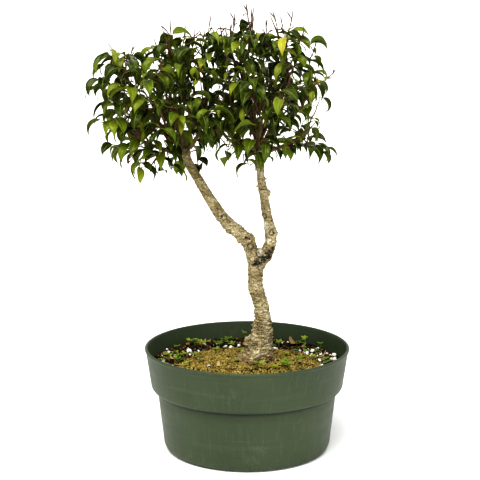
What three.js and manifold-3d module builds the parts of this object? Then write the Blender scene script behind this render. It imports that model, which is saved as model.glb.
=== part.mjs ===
// A small-leaved ficus bonsai growing in a round plastic nursery pot.
//
// Millimetres, +Z up. The origin is on the surface that the pot stands on, under the pot's axis, and the
// tree's front faces -Y. The pot holds a bed of potting soil with a mound of clay granules round the trunk.
// The trunk forks into two limbs, each limb ends in a knot, branches leave the knots, and leafy twigs leave
// the branches. Each leafy twig is one piece with the leaves that grow on it.

import * as THREE from "three";
import { mergeVertices } from "three/addons/utils/BufferGeometryUtils.js";
import Module from "manifold-3d";

const wasm = await Module();
wasm.setup();

// ------------------------------------------------------------------------------------ driving dimensions

const GAP = 0.3; // clearance between neighbouring pieces

const pot = {
  height: 128,
  rimRadius: 127, // outside of the lip
  lipHeight: 4,
  lipOut: 1.2, // how far the lip stands out of the band
  bandHeight: 48, // the wide upper band
  bandTaper: 6.5, // how much narrower the band is at its lower edge
  ledge: 7.5, // the step in under the band
  ledgeHeight: 4,
  bodyTaper: 7.8, // how much narrower the body is at its foot than under the ledge
  footRound: 8,
  wall: 2.4,
  floor: 3,
  drainHoles: 6,
  drainRadius: 6,
  drainInset: 20, // from the outside of the foot to a hole's centre
  sides: 40,
};

const soil = { depthBelowRim: 23 };
const soilTop = pot.height - soil.depthBelowRim;

const mound = {
  centre: [0, -14],
  toWall: [33, 25], // from the pot's inside wall to the mound's side and front
  height: 9,
  edge: 1.2,
  wobble: 0.07, // of the reach, round the outline
  sides: 28,
};

// Surface roots: the way each runs in degrees, how far it spreads and how thick it is against the usual.
const roots = [
  { turn: 206, spread: 52, size: 1.25 },
  { turn: 282, spread: 36, size: 1 },
  { turn: 352, spread: 38, size: 0.9 },
  { turn: 62, spread: 38, size: 1 },
  { turn: 136, spread: 40, size: 1 },
];
const rootRadii = [10, 8, 3];
const rootDrop = 18; // how deep a root's end lies in the soil

const leaf = { length: 35, width: 14.5, thickness: 0.8, channel: 0.11, stalkRadius: 0.4, footRadius: 0.2 };

const dome = { power: 2.3, shares: [1, 0.92, 1, 0.6] };

const twig = { length: 50, startRadius: 1.5, tipRadius: 0.4, bareStart: 12, budLength: 8, leafSpacing: 8.2 };
const sideTwig = { length: 34, startRadius: 0.85, bareStart: 7, leaves: [0.26, 0.5], spread: 50 };
const shoot = { above: 0.45, length: 26 }; // twigs in this upper share of a crown end in a bare shoot

// ------------------------------------------------------------------------------------------ basic shapes

const up = new THREE.Vector3(0, 0, 1);
const goldenAngle = Math.PI * (3 - Math.sqrt(5));
const vec = ([x, y, z]) => new THREE.Vector3(x, y, z);
const overSoil = ([x, y, height]) => new THREE.Vector3(x, y, soilTop + height);
const radians = THREE.MathUtils.degToRad;
const mix = THREE.MathUtils.lerp;

// Repeatable random numbers from 0 to 1.
function randomFrom(seed) {
  let state = seed * 2654435761;
  return () => {
    state = (state + 0x6d2b79f5) | 0;
    let t = Math.imul(state ^ (state >>> 15), 1 | state);
    t = (t + Math.imul(t ^ (t >>> 7), 61 | t)) ^ t;
    return ((t ^ (t >>> 14)) >>> 0) / 4294967296;
  };
}

// A closed geometry as a solid, with its shared vertices merged.
function solidOf(geometry) {
  const bare = new THREE.BufferGeometry().setAttribute("position", geometry.getAttribute("position"));
  bare.setIndex(geometry.index);
  const merged = mergeVertices(bare, 1e-4);
  const corners = merged.index.array;
  const kept = [];
  for (let i = 0; i < corners.length; i += 3) {
    const [a, b, c] = corners.slice(i, i + 3);
    if (a !== b && b !== c && c !== a) kept.push(a, b, c);
  }
  return new wasm.Manifold(
    new wasm.Mesh({
      numProp: 3,
      vertProperties: new Float32Array(merged.attributes.position.array),
      triVerts: new Uint32Array(kept),
    }),
  );
}

function geometryOf(solid) {
  const { vertProperties, triVerts } = solid.getMesh();
  const geometry = new THREE.BufferGeometry();
  geometry.setAttribute("position", new THREE.BufferAttribute(vertProperties, 3));
  geometry.setIndex(new THREE.BufferAttribute(triVerts, 1));
  geometry.computeVertexNormals();
  return geometry;
}

const joined = (solids) => solids.reduce((whole, piece) => whole.add(piece));

// Turns a [radius, height] profile round the Z axis. The profile runs up the outside and down the inside.
function turned(profile, sides) {
  const outline = profile.map(([radius, height]) => new THREE.Vector2(radius, height));
  return solidOf(new THREE.LatheGeometry(outline, sides).rotateX(Math.PI / 2));
}

// A tapered bar: a cylinder bent along a smooth curve through points. radiusAt takes 0 at its start to 1.
// grow makes it that much thicker all round and longer at both ends.
function bar(points, radiusAt, sides, steps, grow = 0) {
  const curve = new THREE.CatmullRomCurve3(points, false, "centripetal");
  const frames = curve.computeFrenetFrames(steps, false);
  const shape = new THREE.CylinderGeometry(1, 1, 1, sides, steps);
  const places = shape.getAttribute("position");
  for (let i = 0; i < places.count; i++) {
    const along = places.getY(i) + 0.5;
    const step = Math.round(along * steps);
    const radius = radiusAt(along) + grow;
    const end = step === 0 ? -1 : Number(step === steps);
    const place = curve
      .getPointAt(step / steps)
      .addScaledVector(frames.tangents[step], end * grow)
      .addScaledVector(frames.normals[step], places.getX(i) * radius)
      .addScaledVector(frames.binormals[step], -places.getZ(i) * radius);
    places.setXYZ(i, ...place);
  }
  return solidOf(shape);
}

function ball(centre, radius) {
  return solidOf(new THREE.IcosahedronGeometry(radius, 1).translate(...centre));
}

// radiusAt for a list of radii at even steps.
function throughRadii(radii) {
  return (along) => {
    const place = along * (radii.length - 1);
    const before = Math.min(Math.floor(place), radii.length - 2);
    return mix(radii[before], radii[before + 1], place - before);
  };
}

const touches = (a, b) => a.intersect(b).volume() > 0;

function boxesMeet(a, b) {
  return [0, 1, 2].every((k) => a.min[k] < b.max[k] && b.min[k] < a.max[k]);
}

// The solids placed so far, which later pieces have to grow clear of.
const placed = [];

function place(owner, solid) {
  placed.push({ owner, solid, box: solid.boundingBox() });
}

// Whether a solid is clear of everything placed, apart from the owners that it may touch.
function isClear(solid, allowed = []) {
  const box = solid.boundingBox();
  return !placed.some(
    (other) => !allowed.includes(other.owner) && boxesMeet(box, other.box) && touches(solid, other.solid),
  );
}

// --------------------------------------------------------------------------------------- pot and its fill

// Radii of the pot's outside, from the lip down.
const bandTop = pot.rimRadius - pot.lipOut;
const bandFoot = bandTop - pot.bandTaper;
const bodyTop = bandFoot - pot.ledge;
const footRadius = bodyTop - pot.bodyTaper;
const ledgeTop = pot.height - pot.bandHeight;

// The pot's outside, from the middle of its underside up to the lip.
function potOutside() {
  const { footRound, height, lipHeight, rimRadius } = pot;
  const foot = [0, 45, 90].map((degrees) => {
    const turn = radians(degrees);
    return [
      footRadius - footRound * (1 - Math.sin(turn)),
      footRound * (1 - Math.cos(turn)),
    ];
  });
  return [
    [0, 0],
    ...foot,
    [bodyTop, ledgeTop - pot.ledgeHeight],
    [bandFoot - 0.35 * pot.ledge, ledgeTop - 0.8 * pot.ledgeHeight],
    [bandFoot, ledgeTop],
    [bandTop, height - lipHeight],
    [rimRadius, height - 0.7 * lipHeight],
    [rimRadius, height - 0.2 * lipHeight],
    [rimRadius - 0.3 * pot.wall, height],
  ];
}

// The inside wall's radius at a height, a wall's thickness in from the outside.
function insideRadius(z) {
  const bodyRise = ledgeTop - pot.ledgeHeight - pot.footRound;
  if (z >= ledgeTop) {
    const share = (z - ledgeTop) / (pot.bandHeight - pot.lipHeight);
    return mix(bandFoot, bandTop, share) - pot.wall;
  }
  const share = THREE.MathUtils.clamp((z - pot.footRound) / bodyRise, 0, 1);
  return mix(footRadius, bodyTop, share) - pot.wall;
}

// The pot's inside as a [radius, height] line from the floor's edge up to height top, drawn in by inset.
function insideLine(top, inset) {
  const floorTop = pot.floor + inset;
  const heights = [pot.footRound, ledgeTop - pot.ledgeHeight + pot.wall, ledgeTop + pot.wall, top];
  const foot = [insideRadius(pot.footRound) - 0.6 * pot.footRound - inset, floorTop];
  return [foot, ...heights.map((z) => [insideRadius(z) - inset, z === top ? z : z + inset])];
}

function potSolid() {
  const inside = insideLine(pot.height, 0).reverse();
  const shell = turned([...potOutside(), ...inside, [0, pot.floor]], pot.sides);
  const holes = Array.from({ length: pot.drainHoles }, (_, i) => {
    const turn = (2 * Math.PI * (i + 0.5)) / pot.drainHoles;
    const middle = footRadius - pot.drainInset;
    const hole = new THREE.CylinderGeometry(pot.drainRadius, pot.drainRadius, 4 * pot.floor, 9);
    hole.rotateX(Math.PI / 2).translate(middle * Math.cos(turn), middle * Math.sin(turn), 0);
    return solidOf(hole);
  });
  return shell.subtract(joined(holes));
}

function soilSolid() {
  const bed = turned([[0, pot.floor + GAP], ...insideLine(soilTop, GAP), [0, soilTop]], pot.sides);
  return bed.subtract(trunkSolid(GAP));
}

// The granule mound's outline swells and narrows round its middle.
function moundSolid() {
  const base = soilTop + GAP;
  const reach = mound.toWall.map((gap, k) => insideRadius(soilTop) - Math.abs(mound.centre[k]) - gap);
  const profile = [[0, 0], [1, 0], [1, mound.edge], [0.8, 0.55 * mound.height], [0.5, 0.85 * mound.height]];
  const outline = [...profile, [0, mound.height]].map(([r, z]) => new THREE.Vector2(r, z));
  const heap = new THREE.LatheGeometry(outline, mound.sides).rotateX(Math.PI / 2);
  const places = heap.getAttribute("position");
  for (let i = 0; i < places.count; i++) {
    const turn = Math.atan2(places.getY(i), places.getX(i));
    const swell = 1 + mound.wobble * (Math.sin(3 * turn + 1) + 0.6 * Math.sin(5 * turn));
    places.setX(i, mound.centre[0] + places.getX(i) * reach[0] * swell);
    places.setY(i, mound.centre[1] + places.getY(i) * reach[1] * swell);
    places.setZ(i, base + places.getZ(i));
  }
  return solidOf(heap).subtract(trunkSolid(GAP));
}

// --------------------------------------------------------------------------------------- trunk and limbs

// Points of the tree are [x, y, height over the soil]; knots and burls have their radius as a fourth number.
const fork = [10, -9, 128];
const trunkFoot = [15, -12, 0];

// Centre lines and radii of the wood that grew as one piece, from the foot in the soil up to the two knots.
const stem = {
  points: [[14, -12, -22], trunkFoot, [15.5, -12, 16], [16, -11, 33], [19.5, -10, 50],
    [18.5, -9, 67], [14.6, -8, 85], [10.2, -8, 103], fork],
  radii: [17, 18.5, 17.6, 15.6, 10.8, 9.4, 9, 9.2, 9.2],
};
const leftLimb = {
  points: [fork, [5, -9, 145], [0, -9, 159], [-14, -10, 170], [-28, -11, 184], [-41, -12, 202], [-51, -12, 219],
    [-62, -12, 239], [-73, -12, 258]],
  radii: [8.5, 8.6, 8.8, 8, 7.4, 6.5, 6.1, 6, 6.1],
};
const rightLimb = {
  points: [[10, -8, 121], [20, -6, 137], [28, -4, 149], [29, -2, 163], [27, 0, 178], [22, 2, 199], [19, 4, 221],
    [16, 5, 243], [15, 5, 261]],
  radii: [8, 8.4, 7.4, 6.9, 6.4, 5.8, 5.4, 5.2, 5.8],
};
const leftKnot = [-76, -12, 264, 8.6];
const rightKnot = [14, 5, 266, 8.2];

// Healed cuts and burls on the trunk.
const burls = [
  [3, -7, 159, 7.4], // top of the left limb's elbow
  [5, -15, 148, 4.4],
  [-21.5, -11, 170.5, 5.2],
  [24, -9, 137, 6.4], // scar under the right limb
  [33, -3, 165, 4.4],
  [25, 3, 215, 4],
  [3, -12, 31, 7.6], // shoulder over the front root
];

function rootSolids(grow) {
  return roots.map(({ turn, spread, size }) => {
    const heading = new THREE.Vector3(1, 0, 0).applyAxisAngle(up, radians(turn));
    const at = (reach, height) => overSoil(trunkFoot).addScaledVector(heading, reach).setZ(soilTop + height);
    const line = [at(0, 12), at(0.6 * spread, 3), at(spread, -rootDrop)];
    const radii = rootRadii.map((radius) => radius * size);
    return bar(line, throughRadii(radii), 7, 2, grow);
  });
}

function trunkSolid(grow = 0) {
  const woods = [stem, leftLimb, rightLimb].map(({ points, radii }) =>
    bar(points.map(overSoil), throughRadii(radii), 8, 11, grow),
  );
  const knobs = [...burls, leftKnot, rightKnot].map((knob) => ball(overSoil(knob), knob[3] + grow));
  return joined([...woods, ...rootSolids(grow), ...knobs]);
}

// ----------------------------------------------------------------------------------------------- branches

// Each branch starts in its crown's knot and runs through these points.
const crowns = [
  {
    side: "left",
    turn: 4.68,
    knot: leftKnot,
    centre: [-104, -8, 327],
    reach: [77, 76, 74],
    lowest: -0.85,
    twigs: 15,
    sprigs: [[-118, -26, 247], [-142, -22, 259], [-52, -10, 388]],
    branches: {
      leader: [[-80, -12, 291], [-90, -8, 323], [-97, -4, 357]],
      outer_low: [[-102, -14, 270], [-134, -18, 284], [-158, -18, 309]],
      outer_high: [[-98, -14, 292], [-122, -22, 319], [-142, -24, 351]],
      front: [[-84, -36, 279], [-94, -58, 299], [-104, -70, 331]],
      back: [[-80, 14, 281], [-92, 40, 299], [-106, 56, 329]],
      inner: [[-60, -10, 283], [-50, -6, 309], [-48, -2, 343]],
    },
  },
  {
    side: "right",
    turn: 4.69,
    knot: rightKnot,
    centre: [22, 4, 330],
    reach: [64, 76, 86],
    lowest: -0.66,
    twigs: 14,
    sprigs: [[-4, -22, 264], [78, 2, 270], [-28, 4, 394], [6, -2, 422]],
    branches: {
      leader: [[11, 4, 291], [6, 2, 321], [-4, 0, 361]],
      upright: [[28, 2, 291], [44, -2, 319], [52, -6, 353]],
      outer_low: [[40, 4, 269], [62, 2, 281], [80, -2, 298]],
      inner_low: [[-12, 2, 272], [-30, -4, 287], [-40, -8, 311]],
      front: [[12, -20, 281], [16, -44, 299], [20, -58, 331]],
      back: [[18, 30, 281], [26, 54, 299], [34, 68, 329]],
    },
  },
];

const branchRadii = [4.2, 3.3, 2.6, 1.7];

function branchCurve(crown, points) {
  return new THREE.CatmullRomCurve3([crown.knot, ...points].map(overSoil), false, "centripetal");
}

function branchSolid(crown, points, grow = 0) {
  return bar(branchCurve(crown, points).points, throughRadii(branchRadii), 6, 4, grow);
}

// ------------------------------------------------------------------------------------------ leaves, twigs

// A leaf's stations: the foot and the end of its stalk, the widest part of its blade, and its tip.
const leafStations = [
  { along: 0, width: 0, stalk: leaf.footRadius },
  { along: 0.16, width: 0, stalk: leaf.stalkRadius },
  { along: 0.5, width: 1, stalk: leaf.stalkRadius },
  { along: 1, width: 0, stalk: 0 },
];

// A leaf leaves its twig at base, rises at an angle, and arcs over until its tip hangs. heading is level.
// It is a closed solid with a left edge, a right edge and a keel, and it ends in a point.
function leafSolid({ base, heading, rise, curl, roll, size }, grow = 0) {
  const length = leaf.length * size + 2 * grow;
  const shape = new THREE.CylinderGeometry(0, 1, 1, 3, leafStations.length - 1);
  const places = shape.getAttribute("position");
  const side = new THREE.Vector3().crossVectors(up, heading);
  const tilts = (s) => rise - curl * s;
  for (let i = 0; i < places.count; i++) {
    const row = Math.round((places.getY(i) + 0.5) * (leafStations.length - 1));
    const { along, width, stalk } = leafStations[row];
    const tilt = tilts(along);
    const centre = base
      .clone()
      .addScaledVector(heading, (length * (Math.sin(rise) - Math.sin(tilt))) / curl)
      .addScaledVector(up, (length * (Math.cos(tilt) - Math.cos(rise))) / curl);
    const top = heading.clone().multiplyScalar(-Math.sin(tilt)).addScaledVector(up, Math.cos(tilt));
    const across = side.clone().multiplyScalar(Math.cos(roll)).addScaledVector(top, Math.sin(roll));
    const outward = top.multiplyScalar(Math.cos(roll)).addScaledVector(side, -Math.sin(roll));
    const isTip = row === leafStations.length - 1;
    const halfWidth = isTip ? 0 : Math.max((width * leaf.width * size) / 2, stalk) + grow;
    const keel = isTip ? 0 : stalk + width * leaf.thickness + grow;
    const lift = width * leaf.channel * leaf.width * size + (row ? grow : 0);
    const x = places.getX(i);
    const isKeel = Math.abs(x) < 1e-6;
    if (isKeel) centre.addScaledVector(outward, -keel);
    else centre.addScaledVector(across, Math.sign(x) * halfWidth).addScaledVector(outward, lift);
    places.setXYZ(i, ...centre);
  }
  return solidOf(shape);
}

// Where a crown's twigs end: its sprigs, and points spread over its dome by the golden angle. The dome is
// squarer than an ellipsoid, and one point in four is well inside it.
function twigTips(crown) {
  const spread = Array.from({ length: crown.twigs }, (_, i) => {
    const height = mix(1, crown.lowest, (i + 0.5) / crown.twigs);
    const level = Math.sqrt(1 - height * height);
    const turn = i * goldenAngle + crown.turn;
    const direction = [level * Math.cos(turn), level * Math.sin(turn), height];
    const bulge = Math.hypot(...direction.map((part) => Math.abs(part) ** (dome.power / 2))) ** (-2 / dome.power);
    const share = bulge * dome.shares[i % dome.shares.length];
    return overSoil(crown.centre).addScaledVector(vec(direction).multiply(vec(crown.reach)), share);
  });
  return [...crown.sprigs.map(overSoil), ...spread];
}

// The places on the crown's branches that a twig with this tip can grow from, the most fitting first.
function twigRoots(crown, tip) {
  const inward = overSoil(crown.knot).sub(tip).normalize();
  const wanted = tip.clone().addScaledVector(inward, twig.length);
  const rootsFound = [];
  for (const [name, points] of Object.entries(crown.branches)) {
    const curve = branchCurve(crown, points);
    for (let along = 0.36; along < 1; along += 0.04) {
      const point = curve.getPointAt(along);
      rootsFound.push({ point, name, distance: point.distanceTo(wanted) });
    }
  }
  return rootsFound.sort((a, b) => a.distance - b.distance);
}

function twigCurve(root, tip, sway) {
  const middle = root.clone().lerp(tip, 0.55).add(sway);
  return new THREE.CatmullRomCurve3([root, middle, tip], false, "centripetal");
}

// A twig ends in a bud of this length, which narrows to a point.
function twigSolid({ curve, radius, budLength, sides, steps }, grow = 0) {
  const budStart = 1 - budLength / curve.getLength();
  const radiusAt = (along) => {
    const bud = THREE.MathUtils.clamp((along - budStart) / (1 - budStart), 0, 1);
    return mix(radius, 0.85 * radius, along) * (1 - bud) + twig.tipRadius * bud;
  };
  return bar(curve.points, radiusAt, sides, steps, grow);
}

// A point on the middle of a twig, which is straight between its rings.
function twigMiddle({ curve, steps }, along) {
  const ring = Math.min(Math.floor(along * steps), steps - 1);
  const [before, after] = [ring, ring + 1].map((i) => curve.getPointAt(i / steps));
  return before.lerp(after, along * steps - ring);
}

// The leaf at one node of a twig. Leaves turn round the twig and lean away from the crown's middle.
function leafAt(crown, wood, along, turn, random) {
  const base = twigMiddle(wood, along);
  const tangent = wood.curve.getTangentAt(along);
  const sideways = new THREE.Vector3().crossVectors(tangent, up).normalize();
  const radial = sideways.applyAxisAngle(tangent, turn);
  const outward = base.clone().sub(vec(crown.centre)).setZ(0).normalize();
  const heading = radial.clone().setZ(0).multiplyScalar(1.1).add(outward.multiplyScalar(0.55)).setZ(0);
  heading.addScaledVector(tangent.clone().setZ(0), 0.4).normalize();
  return {
    base,
    heading,
    rise: radians(mix(5, 50, random())),
    curl: radians(mix(95, 160, random())),
    roll: radians(mix(-26, 26, random())),
    size: mix(0.76, 1.12, random()),
  };
}

// The leaves of one wood of a spray. A leaf grows where it is clear of everything but the wood it is on.
function leavesOn(crown, wood, spray, random) {
  const { curve, bareStart, budLength } = wood;
  const length = curve.getLength();
  const tries = 7;
  const otherWoods = spray.woods.filter((other) => other !== wood).map((other) => twigSolid(other, GAP));
  let turn = random() * 6;
  for (let run = bareStart; run < length - 0.7 * budLength; run += twig.leafSpacing) {
    turn += goldenAngle;
    for (let i = 0; i < tries; i++) {
      const shape = leafAt(crown, wood, run / length, turn + i * 0.9, random);
      const guard = leafSolid(shape, GAP);
      const own = [...otherWoods, ...spray.guards];
      if (own.some((other) => touches(guard, other)) || !isClear(guard, [spray.name])) continue;
      spray.guards.push(guard);
      spray.leaves.push(leafSolid(shape));
      break;
    }
  }
}

// ------------------------------------------------------------------------------- loose things on the soil

// A seedling: a thin stem with round leaflets in a whorl at its top.
function seedlingSolid({ at, height, leaflets, turn }) {
  const foot = onSoil(at);
  const head = new THREE.Vector3(1.5 * Math.cos(turn), 1.5 * Math.sin(turn), height).add(foot);
  const stalk = bar([foot, head], () => 0.5, 5, 1);
  const blades = Array.from({ length: leaflets }, (_, i) => {
    const blade = new THREE.SphereGeometry(1, 7, 3).scale(3.1, 2.3, 0.5).translate(2.6, 0, 0);
    blade.rotateY(radians(-18)).rotateZ(turn + (2 * Math.PI * i) / leaflets).translate(...head);
    return solidOf(blade);
  });
  return joined([stalk, ...blades]);
}

// A lump of perlite lying on the soil.
function perliteSolid({ at, radius, squash }) {
  const { x, y, z } = onSoil(at);
  const lump = new THREE.IcosahedronGeometry(radius, 1).scale(1.15, 0.9, squash);
  return solidOf(lump.rotateZ(at.turn).translate(x, y, z + radius * squash));
}

// Loose things stand where turn (degrees) and the distance in from the pot's inside wall put them.
const seedlings = [
  { at: { turn: 131.7, fromWall: 21.5 }, height: 10, leaflets: 3, turn: 0.4 },
  { at: { turn: 106, fromWall: 27 }, height: 12, leaflets: 3, turn: 1.7 },
  { at: { turn: 69, fromWall: 26.5 }, height: 9, leaflets: 4, turn: 2.6 },
  { at: { turn: 41, fromWall: 20 }, height: 11, leaflets: 3, turn: 4.1 },
];

const perlite = [
  { at: { turn: 167.6, fromWall: 18.5 }, radius: 3.4, squash: 0.8 },
  { at: { turn: 150.4, fromWall: 19.5 }, radius: 3, squash: 0.7 },
  { at: { turn: 6.8, fromWall: 19 }, radius: 3.6, squash: 0.75 },
  { at: { turn: 26, fromWall: 20.5 }, radius: 3.2, squash: 0.8 },
];

function onSoil({ turn, fromWall }) {
  const radius = insideRadius(soilTop) - fromWall;
  return new THREE.Vector3(radius, 0, soilTop + GAP).applyAxisAngle(up, radians(turn));
}

// ------------------------------------------------------------------------------------------- the assembly

const bonsai = new THREE.Group();
bonsai.name = "bonsai";

const looks = {
  pot: { color: 0x4b5a42, roughness: 0.55, metalness: 0 },
  soil: { color: 0x2b2119, roughness: 0.95, metalness: 0 },
  granules: { color: 0x9c8450, roughness: 0.9, metalness: 0 },
  bark: { color: 0x9e8f6c, roughness: 0.85, metalness: 0 },
  twigBark: { color: 0x5a3d2c, roughness: 0.75, metalness: 0 },
  leaf: { color: 0x35581c, roughness: 0.4, metalness: 0 },
  seedling: { color: 0x6f8f2a, roughness: 0.6, metalness: 0 },
  perlite: { color: 0xe6e2da, roughness: 0.95, metalness: 0 },
};

function add(name, solid, look) {
  const mesh = new THREE.Mesh(geometryOf(solid), new THREE.MeshStandardMaterial(looks[look]));
  mesh.name = name;
  bonsai.add(mesh);
}

add("pot", potSolid(), "pot");
add("potting_soil", soilSolid(), "soil");
add("granule_mound", moundSolid(), "granules");
add("trunk", trunkSolid(), "bark");
place("trunk", trunkSolid(GAP));

for (const crown of crowns) {
  const grown = [];
  for (const [name, points] of Object.entries(crown.branches)) {
    const branch = `branch_${crown.side}_${name}`;
    const taken = joined([trunkSolid(GAP), ...grown]);
    add(branch, branchSolid(crown, points).subtract(taken), "twigBark");
    grown.push(branchSolid(crown, points, GAP));
    place(branch, branchSolid(crown, points, GAP));
  }
}

const cutByBranch = (solid, branch) => solid.subtract(placed.find(({ owner }) => owner === branch).solid);

// A spray's main twig takes the first root from which it leaves its branch once and is clear of the wood
// grown before it. Each round of tries sways it another way.
function growMainTwig(crown, tip, isTop, random) {
  const budLength = isTop ? shoot.length : twig.budLength;
  const lean = new THREE.Vector3(random() - 0.5, random() - 0.5, 1).normalize();
  const end = isTop ? tip.clone().addScaledVector(lean, 0.7 * shoot.length) : tip;
  const rounds = 8;
  const starts = twigRoots(crown, tip);
  for (let i = 0; i < rounds * starts.length; i++) {
    const { point, name } = starts[i % starts.length];
    const sway = new THREE.Vector3(random() - 0.5, random() - 0.5, 0.6 * random()).multiplyScalar(12);
    const curve = twigCurve(point, end, sway);
    const wood = { curve, radius: twig.startRadius, bareStart: twig.bareStart, budLength, sides: 4, steps: 4 };
    const parent = `branch_${crown.side}_${name}`;
    const leavesOnce = cutByBranch(twigSolid(wood), parent).decompose().length === 1;
    if (leavesOnce && isClear(twigSolid(wood, 2 * GAP), [parent])) return { wood, parent };
  }
  throw new Error(`no room for the twig at ${tip.toArray().map(Math.round)}`);
}

// A side twig leaves the main twig at an angle. It turns round the main twig until it is clear.
function growSideTwigs(name, main, random) {
  const tries = 9;
  const woods = [];
  for (const [i, along] of sideTwig.leaves.entries()) {
    const root = twigMiddle(main, along);
    const tangent = main.curve.getTangentAt(along);
    const sideways = new THREE.Vector3().crossVectors(tangent, up).normalize();
    for (let k = 0; k < tries; k++) {
      const turn = Math.PI * i + (k % 2 ? 1 : -1) * 0.35 * k + 0.4 * (random() - 0.5);
      const lean = radians(sideTwig.spread * mix(0.8, 1.2, random()));
      const direction = sideways.clone().applyAxisAngle(tangent, turn);
      direction.multiplyScalar(Math.sin(lean)).addScaledVector(tangent, Math.cos(lean));
      const tip = root.clone().addScaledVector(direction, sideTwig.length * mix(0.85, 1.15, random()));
      const curve = twigCurve(root, tip, new THREE.Vector3(0, 0, 2.5));
      const { startRadius: radius, bareStart } = sideTwig;
      const wood = { curve, radius, bareStart, budLength: twig.budLength, sides: 4, steps: 2 };
      const guard = twigSolid(wood, 2 * GAP);
      if (!isClear(guard, [name]) || woods.some((other) => touches(guard, twigSolid(other)))) continue;
      woods.push(wood);
      break;
    }
  }
  return woods;
}

const sprays = [];
for (const crown of crowns) {
  for (const [i, tip] of twigTips(crown).entries()) {
    const random = randomFrom(100 * crowns.indexOf(crown) + i + 1);
    const isTop = tip.z > soilTop + crown.centre[2] + shoot.above * crown.reach[2];
    const { wood, parent } = growMainTwig(crown, tip, isTop, random);
    const name = `leafy_twig_${crown.side}_${String(i + 1).padStart(2, "0")}`;
    place(name, twigSolid(wood, GAP));
    sprays.push({ name, crown, parent, random, woods: [wood], leaves: [], guards: [] });
  }
}
for (const spray of sprays) {
  spray.woods.push(...growSideTwigs(spray.name, spray.woods[0], spray.random));
  for (const wood of spray.woods.slice(1)) place(spray.name, twigSolid(wood, GAP));
}
for (const spray of sprays) {
  for (const wood of spray.woods) leavesOn(spray.crown, wood, spray, spray.random);
  const woods = cutByBranch(joined(spray.woods.map((wood) => twigSolid(wood))), spray.parent);
  add(spray.name, joined([woods, ...spray.leaves]), "leaf");
  for (const guard of spray.guards) place(spray.name, guard);
}

seedlings.forEach((seedling, i) => add(`seedling_${i + 1}`, seedlingSolid(seedling), "seedling"));
perlite.forEach((lump, i) => add(`perlite_${i + 1}`, perliteSolid(lump), "perlite"));

export default bonsai;
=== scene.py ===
"""Looks for a small fig bonsai in a plastic nursery pot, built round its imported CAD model."""

import math

import bmesh
import bpy
import numpy as np
from mathutils import Matrix, Vector, noise


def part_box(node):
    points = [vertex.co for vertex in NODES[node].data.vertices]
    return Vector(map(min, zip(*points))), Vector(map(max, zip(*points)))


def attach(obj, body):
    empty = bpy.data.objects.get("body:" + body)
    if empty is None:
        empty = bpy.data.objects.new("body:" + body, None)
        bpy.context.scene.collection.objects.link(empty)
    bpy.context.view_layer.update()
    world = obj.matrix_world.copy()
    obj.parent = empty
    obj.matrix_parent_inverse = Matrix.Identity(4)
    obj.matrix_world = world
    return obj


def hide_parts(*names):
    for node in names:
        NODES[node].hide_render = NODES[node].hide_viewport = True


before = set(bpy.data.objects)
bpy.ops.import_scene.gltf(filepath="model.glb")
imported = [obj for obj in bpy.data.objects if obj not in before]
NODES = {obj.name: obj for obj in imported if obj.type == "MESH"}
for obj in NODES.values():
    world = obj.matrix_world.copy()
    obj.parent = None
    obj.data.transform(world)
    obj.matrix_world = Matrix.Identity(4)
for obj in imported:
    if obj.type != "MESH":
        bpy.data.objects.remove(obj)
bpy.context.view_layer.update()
MM = 0.001
# The pot's own sizes, in millimetres.
POT = {"height": 128, "rim": 127, "lip": 1.2, "lip_height": 4, "band": 48, "band_taper": 6.5, "ledge": 7.5,
       "ledge_height": 4, "body_taper": 7.8, "foot_round": 8, "wall": 2.4, "floor": 3, "drain": 6,
       "drain_inset": 20, "corner": 1.2}
BAND_TOP = POT["rim"] - POT["lip"]
BAND_FOOT = BAND_TOP - POT["band_taper"]
BODY_TOP = BAND_FOOT - POT["ledge"]
FOOT = BODY_TOP - POT["body_taper"]
LEDGE_TOP = POT["height"] - POT["band"]
LEDGE_FOOT = LEDGE_TOP - POT["ledge_height"]


# ---- colours and nodes

def linear(r, g, b):
    """A display colour, 0 to 255, as linear light."""
    return tuple((c / 255 / 12.92) if c <= 10 else ((c / 255 + 0.055) / 1.055) ** 2.4 for c in (r, g, b))


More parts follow.
